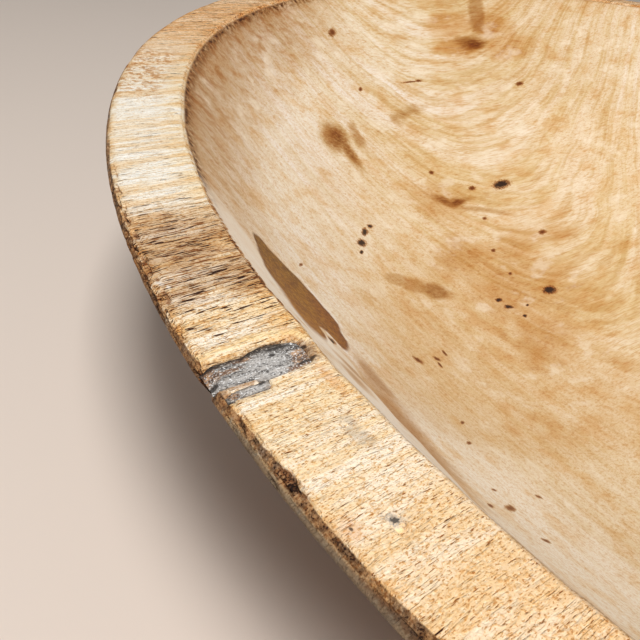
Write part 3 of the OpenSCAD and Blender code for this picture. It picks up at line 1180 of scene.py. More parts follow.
def curve_of(tree, value, low, high, top, points, handle="VECTOR"):
    """A table of (place, value) as a curve, with places from low to high and values up to top."""
    values = {"Value": value, "From Min": low, "From Max": high}
    share = add_node(tree, "ShaderNodeMapRange", values).outputs[0]
    curve = add_node(tree, "ShaderNodeFloatCurve", {"Value": share})
    line = curve.mapping.curves[0]
    shares = [((place - low) / (high - low), amount / top) for place, amount in points]
    line.points[0].location = shares[0]
    line.points[1].location = shares[-1]
    for place in shares[1:-1]:
        line.points.new(place[0], place[1])
    for point in line.points:
        point.handle_type = handle
    curve.mapping.update()
    return times(tree, curve.outputs[0], top)


def inside_outline(tree, chart, outline, middle):
    """Millimetres into an outline on the wall, told by its reach each way from its middle."""
    round_scale, down_scale = wall_scale(middle[1])
    table = []
    for azimuth, depth in outline:
        across = (azimuth - middle[0]) * round_scale
        down = (depth - middle[1]) * down_scale
        table.append((math.atan2(down, across), math.hypot(across, down)))
    table.sort()
    first, last = table[0], table[-1]
    share = (math.pi - last[0]) / (first[0] + 2.0 * math.pi - last[0])
    seam = last[1] + (first[1] - last[1]) * share
    table = [(-math.pi, seam)] + table + [(math.pi, seam)]
    across = times(tree, less(tree, chart.azimuth, middle[0]), round_scale)
    down = times(tree, less(tree, chart.depth, middle[1]), down_scale)
    angle = sum_of(tree, "ARCTAN2", down, across)
    reach = curve_of(tree, angle, -math.pi, math.pi, 30.0, table, "AUTO_CLAMPED")
    return less(tree, reach, length_of(tree, vector_of(tree, across, down)))


# Wood


def pale_sheen_stretch(tree, chart):
    """The pale, little worn stretch of the rim at the left, which is also whitened as a painted sheen.
    """
    return zone(tree, chart.azimuth, 224.0, 240.0, 254.0, 258.5)


def rim_grain(tree, chart, grain, colours):
    """Bands, lines and coarse grains of the dry rim. Lines are faint right of the check. The pale
    stretch at the left is whitened, partly as a painted sheen.
    """
    azimuth, grit = chart.azimuth, grain.grit
    calm = shifted(tree, pale_sheen_stretch(tree, chart), -0.5, 1.0)
    lined = times(tree, shifted(tree, fade(tree, azimuth, 264.0, 271.0), -0.8, 1.0), calm)
    colour = blend(tree, fade(tree, grain.tone, 0.38, 0.60), colours.rim_gold, colours.rim_cream)
    # Whitens the pale stretch: partly its own pale wood and partly a painted sheen
    colour = blend(tree, times(tree, pale_sheen_stretch(tree, chart), 0.85), colour, srgb(255, 253, 246))
    broad = cloud(tree, chart.millimetres, (3.6, 46.0, 3.6), 3.0, 0.6)
    left = rest_of(tree, fade(tree, azimuth, 257.0, 262.0))
    broad = times(tree, fade(tree, broad, 0.46, 0.62), left)
    colour = soak(tree, broad, colour, srgb(247, 228, 202))
    golden = rest_of(tree, zone(tree, azimuth, 226.0, 240.0, 267.0, 280.0))
    colour = soak(tree, golden, colour, srgb(247, 228, 207))
    band = times(tree, fade(tree, grain.band, 0.50, 0.68), lined)
    colour = soak(tree, band, colour, srgb(240, 224, 200))
    line = times(tree, fade(tree, grain.line, 0.52, 0.68), lined)
    colour = soak(tree, line, colour, srgb(224, 198, 166))
    coarse = times(tree, fade(tree, grit, 0.52, 0.68), calm)
    colour = soak(tree, coarse, colour, srgb(229, 204, 170))
    colour = blend(tree, fade(tree, grit, 0.46, 0.32, 0.5), colour, srgb(255, 242, 216))
    fleck = times(tree, fade(tree, grain.fleck, 0.58, 0.72), calm)
    return soak(tree, fleck, colour, srgb(210, 178, 142))


def weather_rim(tree, chart, grain, colour, colours):
    """Weathered and dirty stretches of the rim, its cracks, its pores and its darker outer corner."""
    point, azimuth, inset = chart.millimetres, chart.azimuth, chart.inset
    patch = cloud(tree, point, (2.0, 7.0, 2.0), 3.0, 0.6)
    grey = zone(tree, azimuth, 254.5, 259.0, 262.3, 263.3)
    grey = times(tree, grey, fade(tree, patch, 0.28, 0.54))
    colour = soak(tree, grey, colour, colours.weathered)
    line = times(tree, fade(tree, grain.line, 0.54, 0.64), grey)
    colour = soak(tree, line, colour, srgb(186, 158, 134))
    blot = cloud(tree, point, (1.5, 1.8, 1.5), 4.0, 0.65)
    mottle = fade(tree, blot, 0.46, 0.62)
    mottle = times(tree, mottle, zone(tree, azimuth, 231.0, 235.5, 240.0, 245.0))
    mottle = times(tree, mottle, fade(tree, inset, 14.5, 9.0))
    colour = soak(tree, mottle, colour, srgb(212, 174, 138))
    corner = times(tree, fade(tree, inset, 2.6, 0.4), fade(tree, patch, 0.32, 0.62))
    colour = soak(tree, corner, colour, srgb(232, 204, 166))
    warm = times(tree, fade(tree, inset, 10.0, 17.0), fade(tree, patch, 0.34, 0.62))
    warm = times(tree, warm, fade(tree, azimuth, 271.0, 266.0))
    colour = soak(tree, warm, colour, srgb(250, 234, 206))
    # Cracks along the grain left of the check, and short pores all over
    spread = shifted(tree, about_zero(tree, patch, 0.22), 1.0, grain.crack)
    spread = shifted(tree, fade(tree, azimuth, 263.0, 268.0), -0.15, spread)
    spread = shifted(tree, pale_sheen_stretch(tree, chart), -0.09, spread)
    spread = shifted(tree, grey, 0.03, spread)
    colour = soak(tree, fade(tree, spread, 0.615, 0.675), colour, colours.rim_pore)
    pore = shifted(tree, about_zero(tree, patch, 0.2), 1.0, grain.pore)
    pore = shifted(tree, pale_sheen_stretch(tree, chart), -0.04, pore)
    return soak(tree, fade(tree, pore, 0.66, 0.76), colour, srgb(166, 122, 84))


def dab_rim(tree, group, chart, dabs, colour, wander):
    """Lays marks over the rim's colour. A dab tells their places, softness, amount and shade."""
    for places, softness, amount, shade in dabs:
        mask = rim_marks(tree, group, chart, places, softness, wander)
        colour = blend(tree, times(tree, mask, amount), colour, shade)
    return colour


def rim_colour(tree, chart, grain, mark, colours):
    """Dry, open-grained wood of the rim."""
    colour = weather_rim(tree, chart, grain, rim_grain(tree, chart, grain, colours), colours)
    wander = about_zero(tree, cloud(tree, chart.millimetres, (0.5, 0.7, 0.5), 3.0, 0.6), 2.2)
    dabs = (
        (RIM_BROWN_MARKS, 0.5, 0.7, srgb(150, 112, 82)),
        (RIM_ORANGE_MARKS, 0.7, 0.4, srgb(220, 150, 84)),
        (RIM_GREY_MARKS, 0.7, 0.4, srgb(160, 150, 140)),
        (RIM_WHITE_MARKS, 0.5, 0.6, srgb(246, 240, 232)),
        (RIM_DARK_MARKS, 0.4, 0.85, srgb(44, 28, 20)),
    )
    return dab_rim(tree, mark, chart, dabs, colour, wander)


def broken(tree, mask, rough, low, high, top=1.0):
    """A mask whose edge is broken up by a noise about zero."""
    return fade(tree, plus(tree, mask, rough), low, high, top)


def tint(tree, name, soft, top):
    """A painted tint with a broken edge."""
    return broken(tree, read_paint(tree, name), soft, 0.15, 0.9, top)


def oil_floor(tree, chart, colour, soft, colours):
    """Oiled patches in the hollow, and the broad oiled part of its floor at the front."""
    oiled = fade(tree, shifted(tree, soft, 0.6, read_paint(tree, "ochre")), 0.0, 1.1, 1.2)
    colour = soak(tree, oiled, colour, colours.ochre)
    begin = curve_of(tree, chart.azimuth, 200.0, 275.0, 100.0, OILED_EDGE)
    past = shifted(tree, soft, 9.0, less(tree, chart.depth, begin))
    front = zone(tree, chart.azimuth, 206.0, 214.0, 263.0, 267.5)
    return soak(tree, times(tree, fade(tree, past, -6.0, 10.0, 0.5), front), colour, colours.ochre)


def hollow_fibres(tree, point, colour, shaded):
    """Fibres, hairs and blotches of the hollow's wood, and a mottling within the painted shade on its
    left wall.
    """
    fibre = cloud(tree, point, (0.9, 16.0, 0.9), 3.0, 0.6)
    colour = soak(tree, fade(tree, fibre, 0.48, 0.70, 0.85), colour, srgb(236, 216, 192))
    hair = cloud(tree, point, (0.4, 6.0, 0.4), 2.0, 0.6)
    colour = soak(tree, fade(tree, hair, 0.48, 0.70, 0.9), colour, srgb(238, 220, 198))
    patch = cloud(tree, point, (3.0, 14.0, 5.0), 4.0, 0.62)
    mottle = times(tree, fade(tree, patch, 0.46, 0.66), shaded)
    colour = soak(tree, mottle, colour, srgb(224, 192, 154))
    blotch = cloud(tree, point, (9.0, 22.0, 9.0), 4.0, 0.6)
    colour = soak(tree, fade(tree, blotch, 0.48, 0.70, 0.9), colour, srgb(243, 224, 197))
    return blend(tree, fade(tree, blotch, 0.46, 0.30, 0.35), colour, srgb(248, 236, 216))


def shade_and_soil_brink(tree, chart, colour):
    """A painted shadow line in the hollow just under the inner edge at the left, with specks of dirt
    along it.
    """
    rough = cloud(tree, chart.millimetres, (1.5, 2.0, 1.5), 3.0, 0.6)
    left = zone(tree, chart.azimuth, 196.0, 206.0, 252.0, 260.0)
    near = times(tree, fade(tree, chart.depth, 5.0, 0.4), left)
    # Painted shadow just under the inner edge
    shadow_line = times(tree, near, fade(tree, rough, 0.34, 0.60))
    colour = soak(tree, shadow_line, colour, srgb(150, 120, 84))
    ticks = shifted(tree, fade(tree, chart.depth, 4.0, 0.8), 0.16, rough)
    near = times(tree, left, fade(tree, chart.depth, 4.0, 2.0))
    return soak(tree, times(tree, fade(tree, ticks, 0.65, 0.75), near), colour, srgb(136, 104, 72))


def hollow_wood(tree, chart, grain, soft, colours):
    """Scrubbed wood of the hollow: golden towards its floor, with rings, fibres and broad tints,
    painted shade on its left wall under the rim and painted light, in part, on its near wall.
    """
    azimuth = chart.azimuth
    low = shifted(tree, soft, 14.0, chart.depth)
    colour = blend(tree, fade(tree, low, 30.0, 68.0), colours.hollow_cream, colours.hollow_gold)
    clear = shifted(tree, zone(tree, azimuth, 120.0, 165.0, 195.0, 235.0), 0.55, 0.45)
    ring = times(tree, fade(tree, grain.ring, 0.36, 0.68), clear)
    colour = soak(tree, ring, colour, srgb(244, 235, 209))
    # Painted shade: the left wall darkens towards the rim
    shaded = fade(tree, shifted(tree, soft, 6.0, chart.depth), 32.0, 0.0)
    shaded = times(tree, shaded, zone(tree, azimuth, 194.0, 216.0, 240.0, 262.0))
    colour = soak(tree, shaded, colour, colours.tan)
    far = times(tree, zone(tree, azimuth, 136.0, 156.0, 170.0, 190.0), fade(tree, low, 70.0, 22.0))
    colour = soak(tree, far, colour, srgb(239, 226, 200))
    colour = oil_floor(tree, chart, colour, soft, colours)
    orange = times(tree, tint(tree, "orange", soft, 0.85), shifted(tree, ring, 0.5, 0.65))
    colour = soak(tree, orange, colour, srgb(229, 195, 150))
    colour = blend(tree, tint(tree, "pale", soft, 0.45), colour, colours.pale)
    # The near wall under the front of the rim is lightened, partly its own pale wood and partly painted
    # light
    near = zone(tree, azimuth, 263.0, 269.0, 292.0, 312.0)
    near = times(tree, near, zone(tree, low, 8.0, 18.0, 48.0, 74.0, 0.7))
    colour = blend(tree, near, colour, srgb(246, 234, 218))
    fine = times(tree, fade(tree, grain.fine_ring, 0.44, 0.68, 0.62), clear)
    colour = soak(tree, fine, colour, srgb(231, 214, 182))
    colour = blend(tree, fade(tree, grain.fine_ring, 0.44, 0.28, 0.12), colour, colours.pale)
    colour = hollow_fibres(tree, chart.millimetres, colour, shaded)
    return shade_and_soil_brink(tree, chart, colour)


def scrape_wall(tree, chart, mark, colour, soft, tight):
    """The scraped strip under the inner edge, with a painted shadow along its lower bound and painted
    shade in the creases below it.
    """
    azimuth = chart.azimuth
    table = [(240.0, 0.0)] + SCRAPED_STRIP + [(280.0, 0.0)]
    lower_bound = curve_of(tree, azimuth, 240.0, 280.0, 40.0, table)
    gap = shifted(tree, tight, 0.9, less(tree, lower_bound, chart.depth))
    right = zone(tree, azimuth, 260.5, 264.5, 276.0, 290.0)
    strip = times(tree, fade(tree, gap, -0.5, 0.9, 0.7), fade(tree, azimuth, 251.0, 256.5))
    colour = blend(tree, strip, colour, srgb(240, 229, 214))
    smear = fade(tree, shifted(tree, tight, 0.4, soft), 0.0, 0.5, 0.6)
    colour = soak(tree, times(tree, smear, fade(tree, gap, -0.5, 0.7)), colour, srgb(222, 196, 166))
    # Painted shadow just below the strip's lower bound, where the strip stands proud
    shadow = times(tree, zone(tree, gap, -9.0, -1.2, 0.2, 2.6), shifted(tree, right, 0.5, 0.2))
    shadow = times(tree, shadow, shifted(tree, smear, 0.8, 0.5))
    colour = soak(tree, shadow, colour, srgb(204, 164, 122))
    # Painted shade in the creases
    crease_shade = wall_marks(tree, mark, chart, CREASE_SHADES, 0.75, shifted(tree, tight, 0.3, soft))
    return soak(tree, crease_shade, colour, srgb(206, 178, 150))


def leaf_stain(tree, chart, colour, tight):
    """The long leaf-shaped stain on the near wall, greyer at its far tip, darkest along its edge."""
    gap = shifted(tree, tight, 0.6, inside_outline(tree, chart, LEAF_STAIN, LEAF_MIDDLE))
    azimuth, depth = chart.azimuth, chart.depth
    fibre = cloud(tree, chart.millimetres, (0.7, 11.0, 0.7), 3.0, 0.6)
    tone = blend(tree, fade(tree, azimuth, 253.0, 257.0), srgb(130, 87, 18), srgb(148, 99, 24))
    tone = blend(tree, fade(tree, azimuth, 257.0, 261.0), tone, srgb(166, 108, 16))
    orange = times(tree, fade(tree, depth, 23.5, 30.0), fade(tree, azimuth, 253.0, 256.0, 0.9))
    tone = blend(tree, orange, tone, srgb(138, 78, 0))
    cloudy = cloud(tree, chart.millimetres, (2.2, 16.0, 2.2), 3.0, 0.6)
    tone = soak(tree, fade(tree, cloudy, 0.42, 0.62), tone, srgb(216, 196, 166))
    tone = soak(tree, fade(tree, fibre, 0.46, 0.60, 0.8), tone, srgb(212, 194, 164))
    tone = blend(tree, fade(tree, fibre, 0.46, 0.34, 0.4), tone, srgb(178, 126, 40))
    tone = soak(tree, fade(tree, gap, 1.8, 0.1, 0.3), tone, srgb(190, 160, 120))
    # Its shallow side near the check runs out softly
    soft_side = times(tree, fade(tree, depth, 20.0, 13.0), fade(tree, azimuth, 256.5, 260.5))
    start, full = shifted(tree, soft_side, -2.6, -0.8), shifted(tree, soft_side, 2.4, 0.7)
    return blend(tree, fade(tree, gap, start, full, 0.97), colour, tone)


def stain_hollow(tree, chart, mark, colour, soft, tight, colours):
    """Brown stains, specks and their soft halos."""
    colour = soak(tree, tint(tree, "shade", soft, 0.42), colour, colours.stain)
    streak = fade(tree, cloud(tree, chart.millimetres, (1.0, 5.0, 1.0), 3.0, 0.6), 0.34, 0.60)
    ragged = shifted(tree, tight, 0.15, times(tree, soft, 0.7))
    smooth = times(tree, ragged, 0.6)
    # Stains as their places, softness, edge, share that follows the streaks, and amount
    stains = (
        (BROWN_STAINS, 0.85, ragged, 0.4, 0.95),
        (STAIN_CORES, 0.9, ragged, 0.5, 0.5),
        (LONG_STAINS, 0.3, smooth, 0.3, 0.30),
        (LONG_ENDS, 0.6, smooth, 0.3, 0.42),
        (FAINT_LINES, 0.8, smooth, 0.3, 0.45),
    )
    for places, softness, wander, share, amount in stains:
        mask = wall_marks(tree, mark, chart, places, softness, wander)
        mask = times(tree, mask, shifted(tree, streak, share, 1.0 - share))
        colour = soak(tree, times(tree, mask, amount), colour, colours.stain)
    edge = times(tree, tight, 0.9)
    specks = wall_marks(tree, mark, chart, BROWN_SPECKS, 0.7, edge)
    colour = soak(tree, specks, colour, srgb(134, 84, 46))
    dark = wall_marks(tree, mark, chart, DARK_SPECKS, 0.65, edge)
    colour = soak(tree, fade(tree, dark, 0.02, 0.6, 0.6), colour, srgb(150, 100, 66))
    return blend(tree, fade(tree, dark, 0.42, 0.95, 0.95), colour, colours.speck)


def hollow_colour(tree, chart, grain, mark, colours):
    """Worn wood of the hollow with its scraped strip, its stains and its specks."""
    point = chart.millimetres
    soft = about_zero(tree, cloud(tree, point, (8.0, 20.0, 8.0), 3.0, 0.6), 1.5)
    tight = about_zero(tree, cloud(tree, point, (1.0, 1.6, 1.0), 3.0, 0.65), 1.9)
    colour = hollow_wood(tree, chart, grain, soft, colours)
    colour = scrape_wall(tree, chart, mark, colour, soft, tight)
    colour = stain_hollow(tree, chart, mark, colour, soft, tight, colours)
    return leaf_stain(tree, chart, colour, tight)


def outside_colour(tree, point, grain, colours):
    """Handled wood of the outer wall and the foot."""
    colour = blend(tree, fade(tree, grain.ring, 0.36, 0.66), colours.outside, srgb(148, 108, 72))
    colour = blend(tree, fade(tree, grain.band, 0.48, 0.70, 0.5), colour, srgb(122, 84, 54))
    wear = cloud(tree, point, (26.0, 40.0, 18.0), 3.0)
    colour = blend(tree, fade(tree, wear, 0.42, 0.7, 0.5), colour, srgb(194, 156, 114))
    colour = soak(tree, fade(tree, grain.line, 0.50, 0.66, 0.8), colour, srgb(216, 190, 160))
    scratch = cloud(tree, point, (14.0, 14.0, 0.5), 2.0, 0.6)
    colour = soak(tree, fade(tree, scratch, 0.52, 0.70, 0.7), colour, srgb(220, 196, 168))
    return blend(tree, fade(tree, grain.pore, 0.7, 0.82, 0.6), colour, colours.rim_pore)


def crumble_edge(tree, grain, colour, smear, dirt, bits):
    """The brown, crumbling outer edge of the rim."""
    edge = read_paint(tree, "edge")
    brown = blend(tree, fade(tree, smear, 0.40, 0.60), srgb(170, 128, 86), srgb(102, 70, 44))
    brown = soak(tree, fade(tree, grain.grit, 0.44, 0.66, 0.7), brown, srgb(150, 108, 72))
    colour = blend(tree, fade(tree, shifted(tree, dirt, 0.6, edge), 0.25, 0.80, 0.9), colour, brown)
    crumbs = plus(tree, plus(tree, edge, bits), about_zero(tree, smear, 1.6))
    return soak(tree, fade(tree, crumbs, 1.0, 1.5), colour, srgb(84, 58, 40))


def soil_edges(tree, point, grain, colour, colours):
    """Dirt in the chips, in the groove, along both edges of the rim and along the filled seams. Painted
    shade in the groove, on the plain side under the outer edge and in the seam left of the check, and a
    painted highlight on the lip there.
    """
    dirt = about_zero(tree, cloud(tree, point, (0.45, 0.7, 0.45), 3.0, 0.6), 1.2)
    bits = about_zero(tree, cloud(tree, point, (0.26, 0.4, 0.26), 2.0, 0.6), 2.2)
    # Painted highlight on the raised lip left of the check
    lip = fade(tree, read_paint(tree, "lip"), 0.2, 1.0, 0.6)
    colour = blend(tree, lip, colour, srgb(255, 222, 162))
    # The plain side under the outer edge is painted dark grey-tan, partly as painted shade
    tan = blend(tree, fade(tree, grain.tone, 0.4, 0.6), srgb(112, 95, 76), srgb(92, 79, 66))
    colour = blend(tree, times(tree, read_paint(tree, "side"), 0.9), colour, tan)
    smear = cloud(tree, point, (1.2, 2.4, 1.2), 3.0, 0.6)
    colour = crumble_edge(tree, grain, colour, smear, dirt, bits)
    # The chip paint also darkens the groove under the outer edge, partly as painted shade
    chip = read_paint(tree, "chip")
    stained = broken(tree, chip, dirt, 0.25, 0.70, 0.7)
    colour = blend(tree, stained, colour, srgb(170, 126, 84), "MULTIPLY")
    colour = blend(tree, broken(tree, chip, bits, 0.75, 1.15, 0.85), colour, colours.grime)
    brink = times(tree, read_paint(tree, "brink"), fade(tree, smear, 0.30, 0.60))
    colour = soak(tree, broken(tree, brink, dirt, 0.30, 0.90), colour, srgb(206, 166, 124))
    colour = soak(tree, broken(tree, brink, bits, 0.85, 1.20), colour, srgb(92, 64, 44))
    # The seams hold dirt, and left of the check painted shade under the lip
    seam = read_paint(tree, "seam")
    stained = broken(tree, seam, dirt, 0.25, 0.75, 0.8)
    colour = blend(tree, stained, colour, srgb(150, 116, 88), "MULTIPLY")
    streaks = plus(tree, bits, about_zero(tree, grain.line, 2.2))
    return blend(tree, broken(tree, seam, streaks, 0.75, 1.15, 0.85), colour, colours.grime)


# Materials


def new_material(name):
    """An empty material with its surface shader and Object coordinates."""
    material = bpy.data.materials.new(name)
    material.use_nodes = True
    tree = material.node_tree
    surface = tree.nodes["Principled BSDF"]
    return material, tree, surface, add_node(tree, "ShaderNodeTexCoord").outputs["Object"]


def raise_bump(tree, surface, height, strength, distance):
    """Puts a height on a surface as bump, with its distance in millimetres."""
    values = {"Strength": strength, "Distance": distance * MM, "Height": height}
    feed(tree, surface.inputs["Normal"], add_node(tree, "ShaderNodeBump", values).outputs[0])


def wood_relief(tree, chart, grain, hollow_mask):
    """Height of the grain: open on the rim and outside, and only fine rings in the hollow."""
    relief = rest_of(tree, fade(tree, grain.pore, 0.60, 0.76))
    lined = shifted(tree, fade(tree, chart.azimuth, 264.0, 271.0), -0.7, 1.0)
    relief = less(tree, relief, times(tree, fade(tree, grain.line, 0.42, 0.70), lined))
    relief = plus(tree, relief, about_zero(tree, grain.grit, 2.8))
    relief = less(tree, relief, fade(tree, grain.crack, 0.62, 0.70))
    relief = times(tree, relief, shifted(tree, hollow_mask, -0.94, 1.0))
    return plus(tree, relief, times(tree, grain.fine_ring, times(tree, hollow_mask, 0.6)))


def wood_material(colours, groups):
    """Old wood: dry rim, scrubbed hollow, outer wall worn by hands, and dirt in chips and seams, with
    painted light and shade in places.
    """
    material, tree, surface, point = new_material("old_wood")
    chart = place_group(tree, groups["bowl_chart"], Point=point)
    grain = place_group(tree, groups["grain"], Point=chart.millimetres)
    rim = rim_colour(tree, chart, grain, groups["mark"], colours)
    hollow = hollow_colour(tree, chart, grain, groups["mark"], colours)
    outside = outside_colour(tree, chart.millimetres, grain, colours)
    hollow_paint = read_paint(tree, "hollow")
    hollow_mask = fade(tree, hollow_paint, 0.3, 0.9)
    colour = blend(tree, fade(tree, read_paint(tree, "rim"), 0.2, 0.8), outside, rim)
    colour = blend(tree, hollow_mask, colour, hollow)
    colour = soil_edges(tree, chart.millimetres, grain, colour, colours)
    feed(tree, surface.inputs["Base Color"], colour)
    rough, worn = shifted(tree, hollow_mask, -0.22, 0.78), about_zero(tree, grain.line, 0.25)
    feed(tree, surface.inputs["Roughness"], sum_of(tree, "ADD", rough, worn, True))
    feed(tree, surface.inputs["Specular IOR Level"], 0.25)
    raise_bump(tree, surface, wood_relief(tree, chart, grain, hollow_paint), 0.75, 0.18)
    return material


def pit_material(colours, wood_colours, groups):
    """Filler of the pits: wood dust like the rim, with dark grey and white dabs."""
    material, tree, surface, point = new_material("pit_filler_grey")
    chart = place_group(tree, groups["bowl_chart"], Point=point)
    grain = place_group(tree, groups["grain"], Point=chart.millimetres)
    colour = rim_grain(tree, chart, grain, wood_colours)
    fine = cloud(tree, chart.millimetres, (0.30, 0.45, 0.30), 2.0, 0.6)
    dabs = (
        (PIT_GREY, 0.5, 0.7, srgb(150, 142, 134)),
        (PIT_SILVER, 0.6, 0.12, colours.fleck),
        (PIT_CRACKS, 0.4, 0.85, colours.speck),
    )
    colour = dab_rim(tree, groups["mark"], chart, dabs, colour, about_zero(tree, fine, 3.0))
    feed(tree, surface.inputs["Base Color"], colour)
    feed(tree, surface.inputs["Roughness"], shifted(tree, fine, -0.2, 0.85))
    raise_bump(tree, surface, fine, 0.6, 0.2)
    return material


def filler_material(name, colours, groups, marks, side_reach, side_shade):
    """Grey filler, streaked along the grain, with silvery flecks, dark grains, wood and cracks, and
    painted shade along its side under the wood's lip.
    """
    material, tree, surface, point = new_material(name)
    silver, dust, cracks = marks
    chart = place_group(tree, groups["bowl_chart"], Point=point)
    millimetres, mark = chart.millimetres, groups["mark"]
    streak = cloud(tree, millimetres, (0.55, 3.4, 0.55), 3.0, 0.6)
    fleck = cloud(tree, millimetres, (0.20, 0.34, 0.20), 2.0, 0.6)
    grain = cloud(tree, millimetres, (0.26, 0.42, 0.26), 2.0, 0.6)
    wander = about_zero(tree, cloud(tree, millimetres, (0.5, 0.9, 0.5), 3.0, 0.6), 2.4)
    colour = blend(tree, fade(tree, streak, 0.38, 0.62), srgb(72, 67, 63), colours.body)
    wood = blend(tree, fade(tree, streak, 0.44, 0.60), srgb(112, 80, 56), colours.wood_dust)
    dabs = ((silver, 0.6, 0.6, srgb(202, 198, 194)), (dust, 0.4, 0.8, wood))
    colour = dab_rim(tree, mark, chart, dabs, colour, wander)
    colour = blend(tree, fade(tree, fleck, 0.54, 0.66, 0.85), colour, colours.fleck)
    colour = blend(tree, fade(tree, grain, 0.46, 0.34, 0.8), colour, colours.speck)
    # Painted shade along the filler's left side, under the wood's lip
    side = fade(tree, shifted(tree, wander, 0.6, read_paint(tree, "inside")), side_reach, 0.1)
    colour = soak(tree, times(tree, side, side_shade), colour, srgb(104, 86, 70))
    dabs = ((cracks, 0.4, 0.9, srgb(36, 28, 24)),)
    colour = dab_rim(tree, mark, chart, dabs, colour, times(tree, wander, 0.5))
    feed(tree, surface.inputs["Base Color"], colour)
    feed(tree, surface.inputs["Roughness"], shifted(tree, fleck, -0.3, 0.8))
    raise_bump(tree, surface, plus(tree, streak, times(tree, grain, 0.6)), 0.8, 0.25)
    return material


def floor_material(look):
    """Plain pale floor with a faint tooth."""
    material, tree, surface, point = new_material("pale_floor")
    tone = add_node(tree, "ShaderNodeTexNoise", {"Vector": point, "Scale": 3.0}).outputs[0]
    shade = tuple(part * 0.97 for part in look.floor)
    feed(tree, surface.inputs["Base Color"], blend(tree, tone, look.floor, shade))
    feed(tree, surface.inputs["Roughness"], 0.9)
    return material


def shared_groups():
    """The shader groups, each built once."""
    makers = {"bowl_chart": bowl_chart_group, "mark": mark_group, "grain": grain_group}
    return {name: bpy.data.node_groups.get(name) or make() for name, make in makers.items()}


# Operators


class BOWL_OT_wood(bpy.types.Operator):
    """Turns the wooden bowl and wears it."""

    bl_idname = "dough_bowl.wood"
    bl_label = "Turned bowl"

    def execute(self, context):
        sizes = context.scene.bowl_sizes
        piece = turn_bowl(sizes)
        wear_bowl(piece, sizes)
        wood = wood_material(context.scene.wood_colours, shared_groups())
        finish_piece(piece, "bowl_body", wood)
        return {"FINISHED"}


class BOWL_OT_fillers(bpy.types.Operator):
    """Fills the check, the side check and the pits."""

    bl_idname = "dough_bowl.fillers"
    bl_label = "Fillers"

    def execute(self, context):
        colours, groups = context.scene.filler_colours, shared_groups()
        marks = CHECK_SILVER, CHECK_DUST, CHECK_CRACKS
        check = filler_material("check_filler_grey", colours, groups, marks, 1.0, 0.85)
        finish_piece(fill_check(context.scene.bowl_sizes), "check_filler", check)
        marks = SIDE_SILVER, SIDE_DUST, SIDE_CRACKS
        side = filler_material("side_filler_grey", colours, groups, marks, 1.6, 0.5)
        finish_piece(fill_side_check(), "side_check_filler", side)
        pits = pit_material(colours, context.scene.wood_colours, groups)
        finish_piece(fill_pits(), "pit_fillers", pits)
        return {"FINISHED"}


class BOWL_OT_stage(bpy.types.Operator):
    """Sets up the floor, the light and the camera."""

    bl_idname = "dough_bowl.stage"
    bl_label = "Stage"

    def execute(self, context):
        look = context.scene.stage_look
        clear_selection()
        bpy.ops.mesh.primitive_plane_add(size=FLOOR_SIZE, location=(0.0, 0.0, 0.0))
        floor = context.object
        floor.name = "floor"
        floor.data.materials.append(floor_material(look))
        add_lamp(KEY_LAMP, look.key_power)
        add_lamp(FILL_LAMP, look.fill_power)
        light_sky(look.sky)
        place_camera()
        context.scene.view_settings.view_transform = "Standard"
        return {"FINISHED"}


def add_lamp(design, power):
    """A square soft lamp that faces the bowl."""
    name, place, size, colour = design
    data = bpy.data.lights.new(name, "AREA")
    data.shape = "SQUARE"
    data.size = size
    data.energy = power
    data.color = colour
    lamp = bpy.data.objects.new(name, data)
    bpy.context.scene.collection.objects.link(lamp)
    lamp.location = place
    lamp.rotation_euler = (Vector(LAMP_AIM) - Vector(place)).to_track_quat("-Z", "Y").to_euler()


def light_sky(strength):
    """Even pale light from all round."""
    world = bpy.data.worlds.new("pale_sky")
    bpy.context.scene.world = world
    world.use_nodes = True
    sky = world.node_tree.nodes["Background"]
    sky.inputs["Color"].default_value = SKY_COLOUR
    sky.inputs["Strength"].default_value = strength


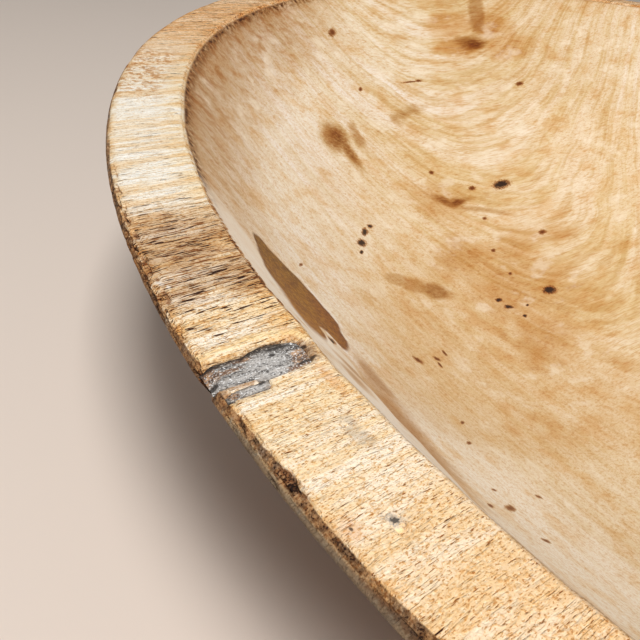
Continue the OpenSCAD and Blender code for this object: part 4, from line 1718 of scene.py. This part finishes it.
def place_camera():
    """Camera just outside and above the front of the rim, looking across the hollow."""
    data = bpy.data.cameras.new("camera")
    data.sensor_fit = "HORIZONTAL"
    data.sensor_width = SENSOR_WIDTH
    data.lens = LENS
    data.clip_start = CLIP_START
    camera = bpy.data.objects.new("camera", data)
    bpy.context.scene.collection.objects.link(camera)
    yaw, pitch, roll = (math.radians(turn) for turn in CAMERA_TURN)
    flat = math.cos(pitch)
    ahead = Vector((math.sin(yaw) * flat, math.cos(yaw) * flat, -math.sin(pitch)))
    level = Vector((math.cos(yaw), -math.sin(yaw), 0.0))
    upward = level.cross(ahead)
    right = level * math.cos(roll) + upward * math.sin(roll)
    top = upward * math.cos(roll) - level * math.sin(roll)
    turn = Matrix((right, top, -ahead)).transposed()
    camera.matrix_world = Matrix.Translation(Vector(CAMERA_PLACE) * MM) @ turn.to_4x4()
    bpy.context.scene.camera = camera


class BOWL_PT_panel(bpy.types.Panel):
    """Lists the bowl's pieces and sizes in the sidebar."""

    bl_idname = "BOWL_PT_panel"
    bl_label = "Dough bowl"
    bl_space_type = "VIEW_3D"
    bl_region_type = "UI"
    bl_category = "Dough bowl"

    def draw(self, context):
        layout = self.layout
        for operator in (BOWL_OT_wood, BOWL_OT_fillers, BOWL_OT_stage):
            layout.operator(operator.bl_idname)
        for group in SETTINGS:
            settings = getattr(context.scene, group)
            for name in settings.__annotations__:
                layout.prop(settings, name)


SETTINGS = {
    "bowl_sizes": BowlSizes,
    "wood_colours": WoodColours,
    "filler_colours": FillerColours,
    "stage_look": StageLook,
}
CLASSES = (*SETTINGS.values(), BOWL_OT_wood, BOWL_OT_fillers, BOWL_OT_stage, BOWL_PT_panel)


def register():
    for entry in CLASSES:
        bpy.utils.register_class(entry)
    for name, group in SETTINGS.items():
        setattr(bpy.types.Scene, name, bpy.props.PointerProperty(type=group))


def unregister():
    for name in SETTINGS:
        delattr(bpy.types.Scene, name)
    for entry in reversed(CLASSES):
        bpy.utils.unregister_class(entry)


def main():
    register()
    bpy.ops.dough_bowl.wood()
    bpy.ops.dough_bowl.fillers()
    bpy.ops.dough_bowl.stage()


if __name__ == "__main__":
    main()
